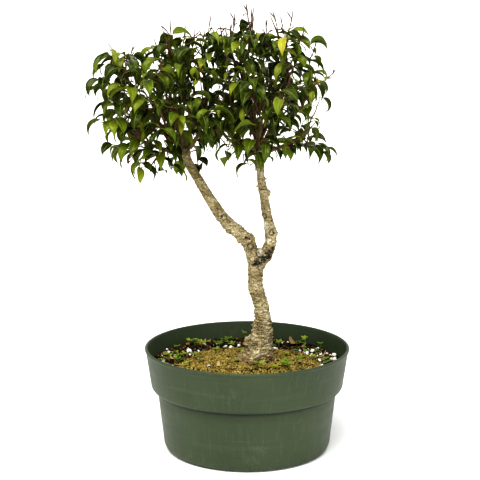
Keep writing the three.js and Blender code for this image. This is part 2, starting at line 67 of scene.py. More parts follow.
class Look:
    """A Principled material whose nodes are added one line at a time."""

    def __init__(self, name, **sockets):
        self.material = bpy.data.materials.new(name)
        self.material.use_nodes = True
        self.tree = self.material.node_tree
        self.shader = self.tree.nodes["Principled BSDF"]
        for socket, value in sockets.items():
            self.shader.inputs[socket.replace("_", " ")].default_value = value

    def node(self, kind, inputs=None, **settings):
        made = self.tree.nodes.new(kind)
        for key, value in settings.items():
            setattr(made, key, value)
        for key, value in (inputs or {}).items():
            self.feed(made.inputs[key], value)
        return made

    def feed(self, socket, value):
        if isinstance(value, bpy.types.NodeSocket):
            self.tree.links.new(value, socket)
        elif isinstance(value, tuple) and len(value) == 3 and socket.type == "RGBA":
            socket.default_value = (*value, 1)
        else:
            socket.default_value = value

    def place(self, scale=(1, 1, 1)):
        """The object's own coordinates in millimetres, stretched by scale."""
        where = self.node("ShaderNodeTexCoord").outputs["Object"]
        sized = self.node("ShaderNodeMapping", {"Vector": where, "Scale": tuple(1000 * s for s in scale)})
        return sized.outputs["Vector"]

    def noise(self, vector, scale, detail=4.0, roughness=0.55, distortion=0.0):
        inputs = {"Vector": vector, "Scale": scale, "Detail": detail, "Roughness": roughness}
        return self.node("ShaderNodeTexNoise", {**inputs, "Distortion": distortion}).outputs["Fac"]

    def ramp(self, value, *stops):
        """A colour or grey ramp: (position, colour or number) stops."""
        made = self.node("ShaderNodeValToRGB", {"Fac": value})
        elements = made.color_ramp.elements
        while len(elements) < len(stops):
            elements.new(0.5)
        for element, (position, colour) in zip(elements, stops):
            element.position = position
            element.color = (*colour, 1) if isinstance(colour, tuple) else (colour, colour, colour, 1)
        return made.outputs["Color"]

    def mix(self, share, a, b, blend="MIX"):
        made = self.node("ShaderNodeMix", data_type="RGBA", blend_type=blend)
        self.feed(made.inputs["Factor"], share)
        colours = [s for s in made.inputs if s.type == "RGBA"]
        self.feed(colours[0], a)
        self.feed(colours[1], b)
        return next(s for s in made.outputs if s.type == "RGBA")

    def math(self, operation, a, b=0.0):
        made = self.node("ShaderNodeMath", operation=operation)
        for socket, value in zip(made.inputs, (a, b)):
            self.feed(socket, value)
        return made.outputs["Value"]

    def total(self, *parts):
        """The sum of parts, each (value, how much of it)."""
        whole = self.math("MULTIPLY", *parts[0])
        for part in parts[1:]:
            whole = self.math("ADD", whole, self.math("MULTIPLY", *part))
        return whole

    def from_half(self, value):
        """How far value is from a half."""
        return self.math("ABSOLUTE", self.math("SUBTRACT", value, 0.5))

    def coats(self, base, *coats):
        """base with display colours laid over it, each (value, the stops of its ramp, colour)."""
        for value, *stops, colour in coats:
            base = self.mix(self.ramp(value, *stops), base, linear(*colour))
        return base

    def tinted(self, base, mask, share, colour):
        """base with a display colour laid over it where mask is, share of the way."""
        return self.mix(self.math("MULTIPLY", mask, share), base, linear(*colour))

    def attribute(self, name, output="Fac"):
        return self.node("ShaderNodeAttribute", attribute_name=name).outputs[output]

    def colour(self, value):
        self.feed(self.shader.inputs["Base Color"], value)

    def rough(self, value):
        self.feed(self.shader.inputs["Roughness"], value)

    def bump(self, height, distance, strength=1.0):
        made = self.node("ShaderNodeBump", {"Height": height, "Distance": distance, "Strength": strength})
        self.feed(self.shader.inputs["Normal"], made.outputs["Normal"])


# ---- mesh building

# A point attribute's type, and the channel of its values, by how many numbers each point has.
ATTRIBUTES = {1: ("FLOAT", "value"), 3: ("FLOAT_VECTOR", "vector"), 4: ("FLOAT_COLOR", "color")}


def mesh_of(name, points, faces):
    mesh = bpy.data.meshes.new(name)
    mesh.from_pydata([tuple(p) for p in points], [], [tuple(int(i) for i in f) for f in faces])
    return mesh


def piece(name, points, faces, look, slot, replaces=(), smooth=True, **attributes):
    """A new object from points in metres. Each attribute has a number, a vector or a colour a point."""
    mesh = mesh_of(name, points, faces)
    mesh.validate()
    mesh.update()
    for key, values in attributes.items():
        values = np.asarray(values, np.float32)
        kind, channel = ATTRIBUTES[values.size // len(mesh.vertices)]
        mesh.attributes.new(key, kind, "POINT").data.foreach_set(channel, values.ravel())
    mesh.materials.append(look.material)
    mesh.polygons.foreach_set("use_smooth", np.full(len(mesh.polygons), smooth))
    thing = bpy.data.objects.new(name, mesh)
    bpy.context.scene.collection.objects.link(thing)
    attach(thing, "root")
    if replaces:
        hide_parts(*replaces)


class Heap:
    """Small shapes put together as one. Its points are in millimetres or metres, as they are given."""

    def __init__(self):
        self.parts, self.faces, self.count = [], [], 0

    def add(self, points, faces):
        self.faces += [tuple(self.count + i for i in f) for f in faces]
        self.parts.append(points)
        self.count += len(points)

    def points(self):
        return np.concatenate(self.parts)


def nodes_named(start):
    return sorted(n for n in NODES if n.startswith(start))


def merged(node):
    """A CAD node's points and faces, with its split corners merged."""
    mesh = NODES[node].data
    points = np.array([v.co for v in mesh.vertices], float).reshape(-1, 3)
    keys = np.round(points * 1e6).astype(np.int64)
    _, first, back = np.unique(keys, axis=0, return_index=True, return_inverse=True)
    back = back.ravel()
    faces = [[int(back[i]) for i in p.vertices] for p in mesh.polygons]
    return points[first], [f for f in faces if len(set(f)) == len(f)]


def modified(points, faces, *modifiers):
    """Points and faces after modifiers, each (type, settings)."""
    work = bpy.data.objects.new("work", mesh_of("work", points, faces))
    bpy.context.scene.collection.objects.link(work)
    for i, (kind, settings) in enumerate(modifiers):
        made = work.modifiers.new(f"m{i}", kind)
        for key, value in settings.items():
            setattr(made, key, value)
    done = work.evaluated_get(bpy.context.evaluated_depsgraph_get()).to_mesh()
    result = np.array([v.co for v in done.vertices], float), [list(p.vertices) for p in done.polygons]
    bpy.data.objects.remove(work)
    return result


def subdivided(levels):
    return "SUBSURF", {"levels": levels, "render_levels": levels}


def normals_of(points, faces):
    mesh = mesh_of("normals", points, faces)
    mesh.update()
    found = np.array([v.normal for v in mesh.vertices], float)
    bpy.data.meshes.remove(mesh)
    return found


def unit(v):
    return v / np.maximum(np.linalg.norm(v, axis=-1, keepdims=True), 1e-12)


def lumps(shape, centres, sizes, spread, flat, seed):
    """Copies of a small closed shape, each turned and stretched in its own way. Points, faces."""
    random = np.random.default_rng(seed)
    base_points, base_faces = shape
    count = len(centres)
    turns = np.linalg.qr(random.normal(size=(count, 3, 3)))[0]
    turns[np.linalg.det(turns) < 0] *= -1
    if flat:
        tilt = random.normal(size=(count, 3)) * flat
        tilt[:, 2] = 1
        turns[:, :, 2] = unit(tilt)
        turns[:, :, 0] = unit(np.cross(random.normal(size=(count, 3)), turns[:, :, 2]))
        turns[:, :, 1] = np.cross(turns[:, :, 2], turns[:, :, 0])
    stretch = 1 + spread * random.uniform(-1, 1, (count, 3))
    scaled = base_points[None] * (stretch * np.asarray(sizes).reshape(count, -1))[:, None, :]
    points = np.einsum("nij,nkj->nki", turns, scaled) + centres[:, None, :]
    faces = np.asarray(base_faces)[None] + (np.arange(count) * len(base_points))[:, None, None]
    return points.reshape(-1, 3), faces.reshape(-1, faces.shape[-1])


def ball(levels):
    made = bmesh.new()
    bmesh.ops.create_icosphere(made, subdivisions=levels, radius=1)
    made.verts.ensure_lookup_table()
    points = np.array([v.co for v in made.verts], float)
    faces = [[v.index for v in f.verts] for f in made.faces]
    made.free()
    return points, faces


def roughened(shape, amount, seed):
    """A shape about 1 across with its surface pushed in and out by noise."""
    points, faces = shape
    shift = Vector((seed * 3.1, seed * 1.7, 0))
    pushes = np.array([noise.noise(Vector(p) * 1.6 + shift) for p in points])
    return points * (1 + amount * pushes)[:, None], faces


def bands(rings, sides, inward=False):
    """The quads between rings of points. inward turns them the other way."""
    order = (0, 3, 2, 1) if inward else (0, 1, 2, 3)
    faces = []
    for j in range(rings - 1):
        for k in range(sides):
            n = (k + 1) % sides
            quad = (j * sides + k, j * sides + n, (j + 1) * sides + n, (j + 1) * sides + k)
            faces.append(tuple(quad[i] for i in order))
    return faces


def closed_faces(rings, sides, inward=False):
    """The faces of rings of points whose first and last middle points come after them."""
    first, last = rings * sides, (rings - 1) * sides
    faces = bands(rings, sides, inward)
    for k in range(sides):
        n = (k + 1) % sides
        a, b = (k, n) if inward else (n, k)
        faces += [(first, a, b), (first + 1, last + b, last + a)]
    return faces


def sheet(rows, cols, flip=False):
    """The faces of a thin closed sheet: a grid of points on top, then the same grid underneath."""
    order = (0, 3, 2, 1) if flip else (0, 1, 2, 3)
    under = rows * cols
    quads = []
    for i in range(rows - 1):
        for j in range(cols - 1):
            a, b = i * cols + j, (i + 1) * cols + j
            quads.append((a, b, b + 1, a + 1))
            quads.append((a + under, a + 1 + under, b + 1 + under, b + under))
    edge = [i * cols for i in range(rows)] + [(rows - 1) * cols + j for j in range(1, cols)]
    edge += [i * cols + cols - 1 for i in range(rows - 2, -1, -1)] + list(range(cols - 2, 0, -1))
    quads += [(a, a + under, b + under, b) for a, b in zip(edge, edge[1:] + edge[:1])]
    return [tuple(quad[k] for k in order) for quad in quads]


def sweep(line, radii, sides):
    """A closed tube along a line of points. Points, faces."""
    tangents = unit(np.gradient(line, axis=0))
    side = unit(np.cross(tangents[0], [0.31, 0.9, 0.17]))
    points = []
    for centre, tangent, radius in zip(line, tangents, radii):
        side = unit(side - tangent * (side @ tangent))
        other = np.cross(tangent, side)
        for k in range(sides):
            a = 2 * math.pi * k / sides
            points.append(centre + radius * (math.cos(a) * side + math.sin(a) * other))
    faces = bands(len(line), sides)
    faces.append(tuple(reversed(range(sides))))
    faces.append(tuple(range((len(line) - 1) * sides, len(line) * sides)))
    return np.array(points), faces


# ---- materials

def pot_look():
    """Dull green plastic with water marks, scratches and dust, and a painted shade line under the ledge."""
    look = Look("pot_plastic", Specular_IOR_Level=0.3)
    place = look.place()
    cloud = look.noise(place, 0.012, 5)
    grain = look.noise(place, 0.9, 3)
    smear = look.noise(look.place((0.006, 0.006, 0.16)), 1.0, 5, 0.65)
    streak = look.noise(look.place((0.25, 0.25, 0.008)), 1.0, 4, 0.6)
    dust = look.noise(place, 0.035, 9, 0.72, 0.6)
    base = look.ramp(cloud, (0.3, linear(47, 58, 39)), (0.7, linear(60, 71, 49)))
    base = look.coats(base, (grain, (0.35, 0), (0.65, 0.4), (70, 80, 60)),
                      (streak, (0.54, 0), (0.8, 0.5), (76, 86, 66)),
                      (smear, (0.56, 0), (0.8, 0.4), (90, 98, 78)),
                      (dust, (0.6, 0), (0.74, 0.22), (112, 114, 92)))
    height_up = look.node("ShaderNodeSeparateXYZ", {"Vector": place}).outputs["Z"]
    span = 16  # how far down the painted shade under the ledge reaches, in millimetres
    painted_shade_height = look.math("DIVIDE", look.math("SUBTRACT", height_up, LEDGE_FOOT + 1 - span), span)
    # dark is painted shade under the ledge: darkest just below it, fading downwards, and made uneven by the
    # smear noise.
    dark = look.ramp(painted_shade_height, (0, 0), (0.6, 0.25), (0.88, 0.95), (0.95, 0.9), (1, 0))
    look.colour(look.tinted(base, dark, look.ramp(smear, (0.4, 0.5), (0.62, 1)), (22, 26, 18)))
    look.rough(look.ramp(look.mix(0.5, smear, dust), (0.3, 0.38), (0.75, 0.62)))
    look.bump(look.total((grain, 0.25), (smear, 0.6), (dust, 0.3)), 0.00025, 0.6)
    return look


def bark_look():
    """Pale bark: cracked across, speckled, with painted shade in its cracks and grooves, and greener and
    smoother where the limb is young.
    """
    look = Look("trunk_bark", Specular_IOR_Level=0.2)
    place = look.place()
    wrinkle = look.noise(look.place((0.14, 0.14, 0.8)), 1.0, 6, 0.65, 0.5)
    patch = look.noise(place, 0.09, 6, 0.65, 0.4)
    speck = look.noise(place, 0.6, 5, 0.65)
    fine = look.noise(place, 1.7, 3)
    lines = look.from_half(look.noise(look.place((0.09, 0.09, 0.34)), 1.0, 4, 0.6, 0.6))
    base = look.ramp(patch, (0.3, linear(134, 119, 80)), (0.42, linear(164, 149, 108)),
                     (0.54, linear(190, 176, 136)), (0.7, linear(232, 222, 194)))
    base = look.coats(base, (fine, (0.56, 0), (0.68, 0.7), (234, 226, 204)))
    base = look.tinted(base, look.attribute("young"), 0.55, (128, 114, 66))
    base = look.tinted(base, look.attribute("dirt"), 0.7, (172, 142, 96))
    # The lines and wrinkle coats are painted shade: they darken the same grooves that the bump cuts.
    base = look.coats(base, (lines, (0, 0.6), (0.02, 0), (92, 74, 44)),
                      (wrinkle, (0.35, 0.9), (0.43, 0), (84, 67, 38)),
                      (speck, (0.39, 1), (0.43, 0), (48, 36, 20)))
    # Painted shade in the trunk's cracks: darker where the crack mask pushes the skin in.
    base = look.tinted(base, look.attribute("crack"), 0.5, (52, 40, 22))
    base = look.tinted(base, look.attribute("pale"), 0.85, (230, 224, 208))
    ragged = look.ramp(look.noise(place, 0.45, 6, 0.75), (0.48, 1), (0.64, 0.6))
    look.colour(look.tinted(base, look.attribute("scar"), ragged, (26, 21, 15)))
    look.rough(look.ramp(patch, (0.3, 0.72), (0.7, 0.9)))
    ridges = look.ramp(lines, (0, 0), (0.05, 0.6))
    look.bump(look.total((wrinkle, 1), (speck, 0.8), (ridges, 1), (fine, 0.3)), 0.0014, 1.0)
    return look


def twig_look(name, low, high):
    look = Look(name, Specular_IOR_Level=0.3)
    place = look.place()
    patch = look.noise(place, 0.12, 5, 0.6)
    rings = look.noise(look.place((0.5, 0.5, 0.9)), 1.0, 4, 0.6)
    dots = look.noise(place, 1.3, 3, 0.5)
    base = look.ramp(patch, (0.3, linear(*low)), (0.72, linear(*high)))
    look.colour(look.coats(base, (dots, (0.62, 0), (0.72, 0.5), (160, 136, 100)),
                           (rings, (0.3, 0.55), (0.45, 0), (44, 28, 20))))
    look.rough(look.ramp(rings, (0.3, 0.78), (0.7, 0.55)))
    look.bump(look.mix(0.5, rings, dots), 0.0004, 0.8)
    return look


def leaf_look():
    """leaf_at holds where a point is on its leaf: across, -1 to 1; along, 0 to 1; and 1 on the underside."""
    look = Look("foliage", Specular_IOR_Level=0.32, Specular_Tint=(0.95, 1.0, 0.6, 1))
    parts = look.node("ShaderNodeSeparateXYZ", {"Vector": look.attribute("leaf_at", "Vector")})
    across = look.math("ABSOLUTE", parts.outputs["X"])
    along, under = parts.outputs["Y"], parts.outputs["Z"]
    # The tint attribute holds each leaf's colour with painted crown shade multiplied in.
    tint = look.attribute("leaf_tint", "Color")
    place = look.place()
    mottle = look.noise(place, 0.16, 4, 0.6)
    fine = look.noise(place, 1.1, 3)
    rib = look.ramp(across, (0.03, 1), (0.11, 0))
    slant = look.total((along, 11), (across, -2.2))
    vein = look.ramp(look.from_half(look.math("FRACT", slant)), (0, 1), (0.09, 0))
    light = look.mix(1.0, tint, (1.5, 1.42, 1.4), "MULTIPLY")
    base = look.mix(look.ramp(mottle, (0.35, 0), (0.75, 0.6)), tint, light)
    base = look.coats(base, (fine, (0.55, 0), (0.85, 0.25), (92, 104, 30)))
    base = look.tinted(base, vein, 0.14, (120, 132, 44))
    base = look.tinted(base, rib, 0.4, (138, 146, 56))
    look.colour(look.tinted(base, under, 0.4, (80, 94, 34)))
    look.rough(look.mix(under, look.ramp(fine, (0.3, 0.12), (0.8, 0.28)), (0.6, 0.6, 0.6)))
    look.bump(look.total((vein, -0.5), (rib, -1), (mottle, 0.6)), 0.00035, 0.7)
    return look


def grain_look(name, scale, *colours, roughness=0.9, bump=0.0004):
    """Loose stuff in display colours from dark to light. The attribute shade, 0 to 1, is each lump's own."""
    look = Look(name, Specular_IOR_Level=0.25)
    place = look.place()
    cloud = look.noise(place, scale, 5, 0.65)
    fine = look.noise(place, 4 * scale, 3)
    stops = [((i + 0.5) / len(colours), linear(*colour)) for i, colour in enumerate(colours)]
    base = look.ramp(look.total((cloud, 0.5), (look.attribute("shade"), 0.5)), *stops)
    dark = look.mix(1.0, base, (0.45, 0.42, 0.38), "MULTIPLY")
    look.colour(look.mix(look.ramp(fine, (0.3, 0.7), (0.5, 0)), base, dark))
    look.rough(look.ramp(cloud, (0.2, roughness - 0.12), (0.8, min(1.0, roughness + 0.08))))
    look.bump(look.mix(0.5, cloud, fine), bump, 0.9)
    return look


def seedling_look():
    look = Look("seedlings", Specular_IOR_Level=0.3)
    cloud = look.noise(look.place(), 0.3, 4)
    tint = look.ramp(look.attribute("shade"), (0.1, linear(70, 92, 16)), (0.9, linear(132, 150, 40)))
    look.colour(look.coats(tint, (cloud, (0.35, 0), (0.75, 0.6), (100, 120, 30))))
    look.rough(look.ramp(cloud, (0.3, 0.45), (0.8, 0.65)))
    look.bump(cloud, 0.0003, 0.6)
    return look


looks = {
    "pot": pot_look(),
    "bark": bark_look(),
    "branch": twig_look("branch_bark", (74, 56, 34), (116, 98, 62)),
    "twig": twig_look("twig_bark", (58, 36, 28), (98, 68, 44)),
    "leaf": leaf_look(),
    "soil": grain_look("soil", 0.35, (17, 14, 8), (34, 28, 17), (68, 55, 34), roughness=0.95, bump=0.0008),
    "granules": grain_look("granules", 0.5, (66, 53, 20), (120, 105, 48), (150, 133, 68), (204, 185, 126)),
    "chips": grain_look("bark_chips", 0.4, (56, 38, 22), (116, 82, 46), (184, 146, 96)),
    "dry": grain_look("dry_leaf", 0.3, (120, 96, 58), (170, 146, 100), (206, 188, 146)),
    "perlite": grain_look("perlite", 0.4, (188, 184, 172), (232, 229, 220), (248, 246, 240)),
    "seedling": seedling_look(),
}


# ---- pot

DRAIN_HOLES, DRAIN_SIDES = 6, 32
POT_SIDES, SOIL_SIDES, SOIL_RINGS = 144, 200, 78


def turned(profile, sides):
    """A [radius, height] line in millimetres turned round Z, with its ends on the axis. Points, faces."""
    rings = [(r, z) for r, z in profile if r > 0]
    angles = np.arange(sides) * 2 * math.pi / sides
    points = [(r * math.cos(a) * MM, r * math.sin(a) * MM, z * MM) for r, z in rings for a in angles]
    points += [(0, 0, profile[0][1] * MM), (0, 0, profile[-1][1] * MM)]
    return points, closed_faces(len(rings), sides)


def rounded(line, radius, steps=4):
    """A line of points with each inner corner cut back by radius and rounded."""
    done = [line[0]]
    for before, corner, after in zip(line, line[1:], line[2:]):
        a, c, b = (np.array(p, float) for p in (before, corner, after))
        cut = min(radius, 0.45 * np.linalg.norm(a - c), 0.45 * np.linalg.norm(b - c))
        start, end = c + cut * unit(a - c), c + cut * unit(b - c)
        for s in np.linspace(0, 1, steps + 1):
            done.append(tuple((1 - s) ** 2 * start + 2 * s * (1 - s) * c + s**2 * end))
    return [*done, line[-1]]


def pot_profile():
    """The pot's section from the middle of its underside, up the outside, and down the inside."""
    top, wall, turn, rim = POT["height"], POT["wall"], POT["foot_round"], POT["rim"]
    lip, base = POT["lip_height"], POT["floor"]
    foot = [(0, 0), (FOOT - turn, 0), (FOOT - 0.29 * turn, 0.22 * turn), (FOOT, turn)]
    ledge = [(BODY_TOP, LEDGE_FOOT), (BODY_TOP + 0.6, LEDGE_FOOT + 0.5), (BAND_FOOT - 2.2, LEDGE_FOOT + 1),
             (BAND_FOOT, LEDGE_TOP)]
    lips = [(BAND_TOP, top - lip), (rim, top - 0.7 * lip), (rim, top - 0.6), (rim - 0.9, top),
            (BAND_TOP - wall + 0.6, top), (BAND_TOP - wall, top - 2)]
    inside = [(BAND_FOOT - wall, LEDGE_TOP + wall), (BODY_TOP - wall, LEDGE_FOOT + wall), (FOOT - wall, turn),
              (FOOT - 0.9 * turn, base), (0, base)]
    return rounded([*foot, *ledge, *lips, *inside], POT["corner"])


def make_pot():
    points, faces = turned(pot_profile(), POT_SIDES)
    ring = (FOOT - POT["drain_inset"]) * MM
    cutters = []
    for k in range(DRAIN_HOLES):
        turn = 2 * math.pi * (k + 0.5) / DRAIN_HOLES
        middle = (ring * math.cos(turn), ring * math.sin(turn), 0)
        bpy.ops.mesh.primitive_cylinder_add(vertices=DRAIN_SIDES, radius=POT["drain"] * MM,
                                            depth=4 * POT["floor"] * MM, location=middle)
        cutters.append(bpy.context.object)
    holes = [("BOOLEAN", {"operation": "DIFFERENCE", "solver": "EXACT", "object": c}) for c in cutters]
    points, faces = modified(points, faces, *holes)
    for cutter in cutters:
        bpy.data.objects.remove(cutter)
    piece("pot_shell", points, faces, looks["pot"], "pot_plastic", ["pot"])


# ---- soil and loose stuff

SOIL_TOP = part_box("potting_soil")[1].z / MM
MOUND_LOW, MOUND_HIGH = (np.array(c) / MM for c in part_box("granule_mound"))
MOUND_MIDDLE = (MOUND_LOW + MOUND_HIGH)[:2] / 2
MOUND_REACH = (MOUND_HIGH - MOUND_LOW)[:2] / 2
MOUND_EDGE = 1.06  # how far the mound goes, as a share of that reach
SOIL_REACH = 120.2  # the soil's radius at its top, in millimetres
SOIL_GAP = 0.4  # between the soil bed and the pot, in millimetres
TRUNK_FOOT = {"x": 15, "y": -12, "radius": 19}
# Loose stuff on the soil: how many of each, and the least and the most of each size in millimetres.
GRANULES = {"count": 8200, "radius": (0.8, 1.5), "lift": (-0.4, 0.9)}
CRUMBS = {"count": 3200, "radius": (0.6, 2.2)}
CHIPS = {"count": 420, "length": (2.0, 6.0), "width_share": (0.3, 0.6), "thickness": (0.5, 1.2)}
PERLITE = {"count": 210, "least": 0.8, "most_more": 2.4}
SEEDLINGS = {"on_soil": 36, "on_mound": 24, "height": (4, 13), "lean": (-2, 2), "leaflets": (4, 8),
             "leaflet_size": (0.7, 1.3), "stalk_radii": (0.5, 0.4, 0.35)}
LEAFLET = {"width": 3.6, "length": 5.2, "cup": 0.35}


def wave(x, y, scale, seed=0.0):
    return noise.noise(Vector((x / scale, y / scale, seed)))


def mound_height(x, y):
    """How far the mound stands over the soil."""
    dx, dy = (x - MOUND_MIDDLE[0]) / MOUND_REACH[0], (y - MOUND_MIDDLE[1]) / MOUND_REACH[1]
    r = math.hypot(dx, dy) / (1 + 0.10 * wave(x, y, 30, 3.0))
    if r >= MOUND_EDGE:
        return 0.0
    top = MOUND_HIGH[2] - SOIL_TOP
    return float(np.interp(r, [0, 0.5, 0.8, 0.97, MOUND_EDGE], [top - 0.6, 0.82 * top, 0.5 * top, 0.9, 0]))


def ground(x, y):
    """The height of the soil or the mound, with its bumps."""
    bumps = 1.1 * wave(x, y, 9, 1.0) + 0.7 * wave(x, y, 3.5, 2.0)
    return SOIL_TOP + mound_height(x, y) + bumps * (0.9 if mound_height(x, y) == 0 else 0.45)


def make_soil():
    turns = [2 * math.pi * k / SOIL_SIDES for k in range(SOIL_SIDES)]
    radii = [*np.linspace(0.6, SOIL_REACH - 2, SOIL_RINGS), SOIL_REACH]
    points = []
    for r in radii:
        for a in turns:
            x, y = r * math.cos(a), r * math.sin(a)
            points.append((x, y, ground(x, y) - SOIL_GAP))
    inset = POT["wall"] + SOIL_GAP
    low = [(SOIL_REACH, SOIL_TOP - 8), (BAND_FOOT - inset, LEDGE_TOP + inset),
           (BODY_TOP - inset, LEDGE_FOOT + inset), (FOOT - inset, POT["foot_round"]),
           (FOOT - POT["foot_round"], POT["floor"] + SOIL_GAP)]
    points += [(r * math.cos(a), r * math.sin(a), z) for r, z in low for a in turns]
    points += [(0, 0, ground(0, 0) - SOIL_GAP), (0, 0, POT["floor"] + SOIL_GAP)]
    faces = closed_faces(len(radii) + len(low), SOIL_SIDES, inward=True)
    shade = [0.5 + 0.5 * wave(x, y, 2.0, 5.0) for x, y, _ in points]
    piece("soil_bed", np.array(points) * MM, faces, looks["soil"], "soil", ["potting_soil"], shade=shade)


def trunk_clear(x, y):
    """Whether a spot is outside the trunk's foot."""
    return math.hypot(x - TRUNK_FOOT["x"], y - TRUNK_FOOT["y"]) > TRUNK_FOOT["radius"]


def scatter(count, seed, keep):
    """Random spots on the soil, clear of the trunk, for which keep(x, y, chance) is true."""
    random = np.random.default_rng(seed)
    found = []
    while len(found) < count:
        r, a = (SOIL_REACH - 3) * math.sqrt(random.random()), 2 * math.pi * random.random()
        x, y = r * math.cos(a), r * math.sin(a)
        if trunk_clear(x, y) and keep(x, y, random.random()):
            found.append((x, y))
    return found


def lay(name, shape, spots, sizes, look, slot, seed, sink, spread=0.3, flat=0.0, lift=0.0, replaces=(),
        smooth=True):
    """One copy of a small shape on the ground at each spot, sunk in by a share of its thickness."""
    sizes = np.asarray(sizes)
    thick = sizes.reshape(len(spots), -1)[:, -1]
    heights = np.array([ground(x, y) for x, y in spots]) + thick * (1 - sink) + lift
    points, faces = lumps(shape, np.column_stack([spots, heights]) * MM, sizes * MM, spread, flat, seed)
    shade = np.repeat(np.random.default_rng(seed + 5).random(len(spots)), len(shape[0]))
    piece(name, points, faces, look, slot, replaces, smooth, shade=shade)


def off_mound(x, y, height=1.5):
    """Whether the mound stands less than height over the soil here."""
    return mound_height(x, y) < height


def is_granule(x, y, chance):
    rise = mound_height(x, y)
    return rise > 0.8 or (rise > 0 and chance < 0.5) or chance < 0.03


def is_perlite(x, y, chance):
    """Perlite lies mostly at the left and right edges, and more of it at the right."""
    share = (0.9 if x > 0 else 0.5) if abs(x) > 0.8 * math.hypot(x, y) else 0.14
    return (off_mound(x, y) and chance < share) or chance < 0.006


def make_loose():
    spots = scatter(GRANULES["count"], 21, is_granule)
    sizes = np.random.default_rng(22).uniform(*GRANULES["radius"], len(spots))
    lift = np.random.default_rng(23).uniform(*GRANULES["lift"], len(spots))
    lay("granules", ball(0), spots, sizes, looks["granules"], "granules", 24, sink=0.5, lift=lift,
        replaces=["granule_mound"], smooth=False)

    spots = scatter(CRUMBS["count"], 31, lambda x, y, chance: off_mound(x, y) or chance < 0.06)
    sizes = np.random.default_rng(32).uniform(*CRUMBS["radius"], len(spots))
    lay("peat_crumbs", ball(0), spots, sizes, looks["soil"], "soil", 33, sink=0.45, spread=0.45)

    random = np.random.default_rng(41)
    spots = scatter(CHIPS["count"], 42, lambda x, y, chance: off_mound(x, y) or chance < 0.1)
    long = random.uniform(*CHIPS["length"], len(spots))
    wide = long * random.uniform(*CHIPS["width_share"], len(spots))
    sizes = np.stack([long, wide, random.uniform(*CHIPS["thickness"], len(spots))], 1)
    lay("bark_chips", roughened(ball(2), 0.35, 2), spots, sizes, looks["chips"], "soil", 43, sink=0.2,
        spread=0.2, flat=0.45)

    spots = scatter(PERLITE["count"], 51, is_perlite)
    sizes = PERLITE["least"] + PERLITE["most_more"] * np.random.default_rng(52).random(len(spots)) ** 1.8
    lay("perlite_lumps", roughened(ball(2), 0.45, 4), spots, sizes, looks["perlite"], "perlite", 53,
        sink=0.35, replaces=nodes_named("perlite"))


def blade(width, length, cup):
    """A small leaflet lying along +X, cupped, with a thickness. Points, faces."""
    rows, cols, thickness = 6, 5, 0.25
    top = []
    for s in (i / (rows - 1) for i in range(rows)):
        half = width / 2 * math.sin(math.pi * min(0.999, 0.08 + 0.9 * s)) ** 0.6
        for u in (2 * j / (cols - 1) - 1 for j in range(cols)):
            top.append((length * s, half * u, cup * (s - 0.5) ** 2 * length + 0.25 * abs(u) * half))
    top = np.array(top)
    return np.concatenate([top, top - (0, 0, thickness)]), sheet(rows, cols)


def make_seedlings():
    random = np.random.default_rng(61)
    spots = []
    for node in nodes_named("seedling"):
        low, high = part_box(node)
        spots.append(tuple(np.array(low + high)[:2] / 2 / MM))
    spots += scatter(SEEDLINGS["on_soil"], 62,
                     lambda x, y, chance: off_mound(x, y, 3) and y > -30 and math.hypot(x, y) < 110)
    spots += scatter(SEEDLINGS["on_mound"], 63, lambda x, y, chance: not off_mound(x, y, 3) and y > -80)
    heap, shades = Heap(), []
    for x, y in spots:
        foot = ground(x, y)
        height = random.uniform(*SEEDLINGS["height"])
        lean = random.uniform(*SEEDLINGS["lean"], 2)
        shade = random.random()
        head = np.array([x + lean[0], y + lean[1], foot + height])
        line = np.array([(x, y, foot - 1), (x + 0.2 * lean[0], y + 0.2 * lean[1], foot + 0.5 * height), head])
        stalk, faces = sweep(line, SEEDLINGS["stalk_radii"], 6)
        heap.add(stalk, faces)
        shades.append(np.full(len(stalk), shade * 0.6))
        count = random.integers(*SEEDLINGS["leaflets"])
        turn = random.uniform(0, 6)
        for k in range(count):
            a = turn + 2 * math.pi * k / count + random.uniform(-0.3, 0.3)
            tilt = random.uniform(-0.1, 0.6)
            size = random.uniform(*SEEDLINGS["leaflet_size"])
            way = np.array(Matrix.Rotation(a, 3, "Z") @ Matrix.Rotation(-tilt, 3, "Y")) * size
            leaflet, faces = blade(**LEAFLET)
            heap.add(leaflet @ way.T + head, faces)
            shades.append(np.full(len(leaflet), shade))
    piece("seedlings", heap.points() * MM, heap.faces, looks["seedling"], "seedlings",
          nodes_named("seedling"), shade=np.concatenate(shades))


# Curled scraps of dry leaf and wood on the soil, in millimetres: [x, y, length, width, turn].
SCRAPS = [(65, 74, 17, 8, 2.2), (70, 66, 12, 5, 0.7), (89, 14, 15, 5, 0.1), (94, 2, 9, 4, 1.2),
          (-35, -47, 9, 5, 1.5), (-92, 12, 8, 4, 2.6), (38, 88, 9, 4, 0.4), (-58, 80, 11, 5, 1.1),
          (30, -92, 10, 5, 2.8), (104, -34, 9, 5, 2.0)]


def make_scraps():
    heap, shades = Heap(), []
    for k, (x, y, length, width, turn) in enumerate(SCRAPS):
        scrap, faces = blade(width, length, 1.3)
        way = Matrix.Rotation(turn, 3, "Z") @ Matrix.Rotation(-0.35 - 0.1 * (k % 3), 3, "Y")
        heap.add(scrap @ np.array(way).T + (x, y, ground(x, y) + 1), faces)
        shades += [0.2 + 0.6 * ((k * 0.38) % 1)] * len(scrap)
    piece("dry_scraps", heap.points() * MM, heap.faces, looks["dry"], "soil", shade=shades)


# ---- trunk, branches

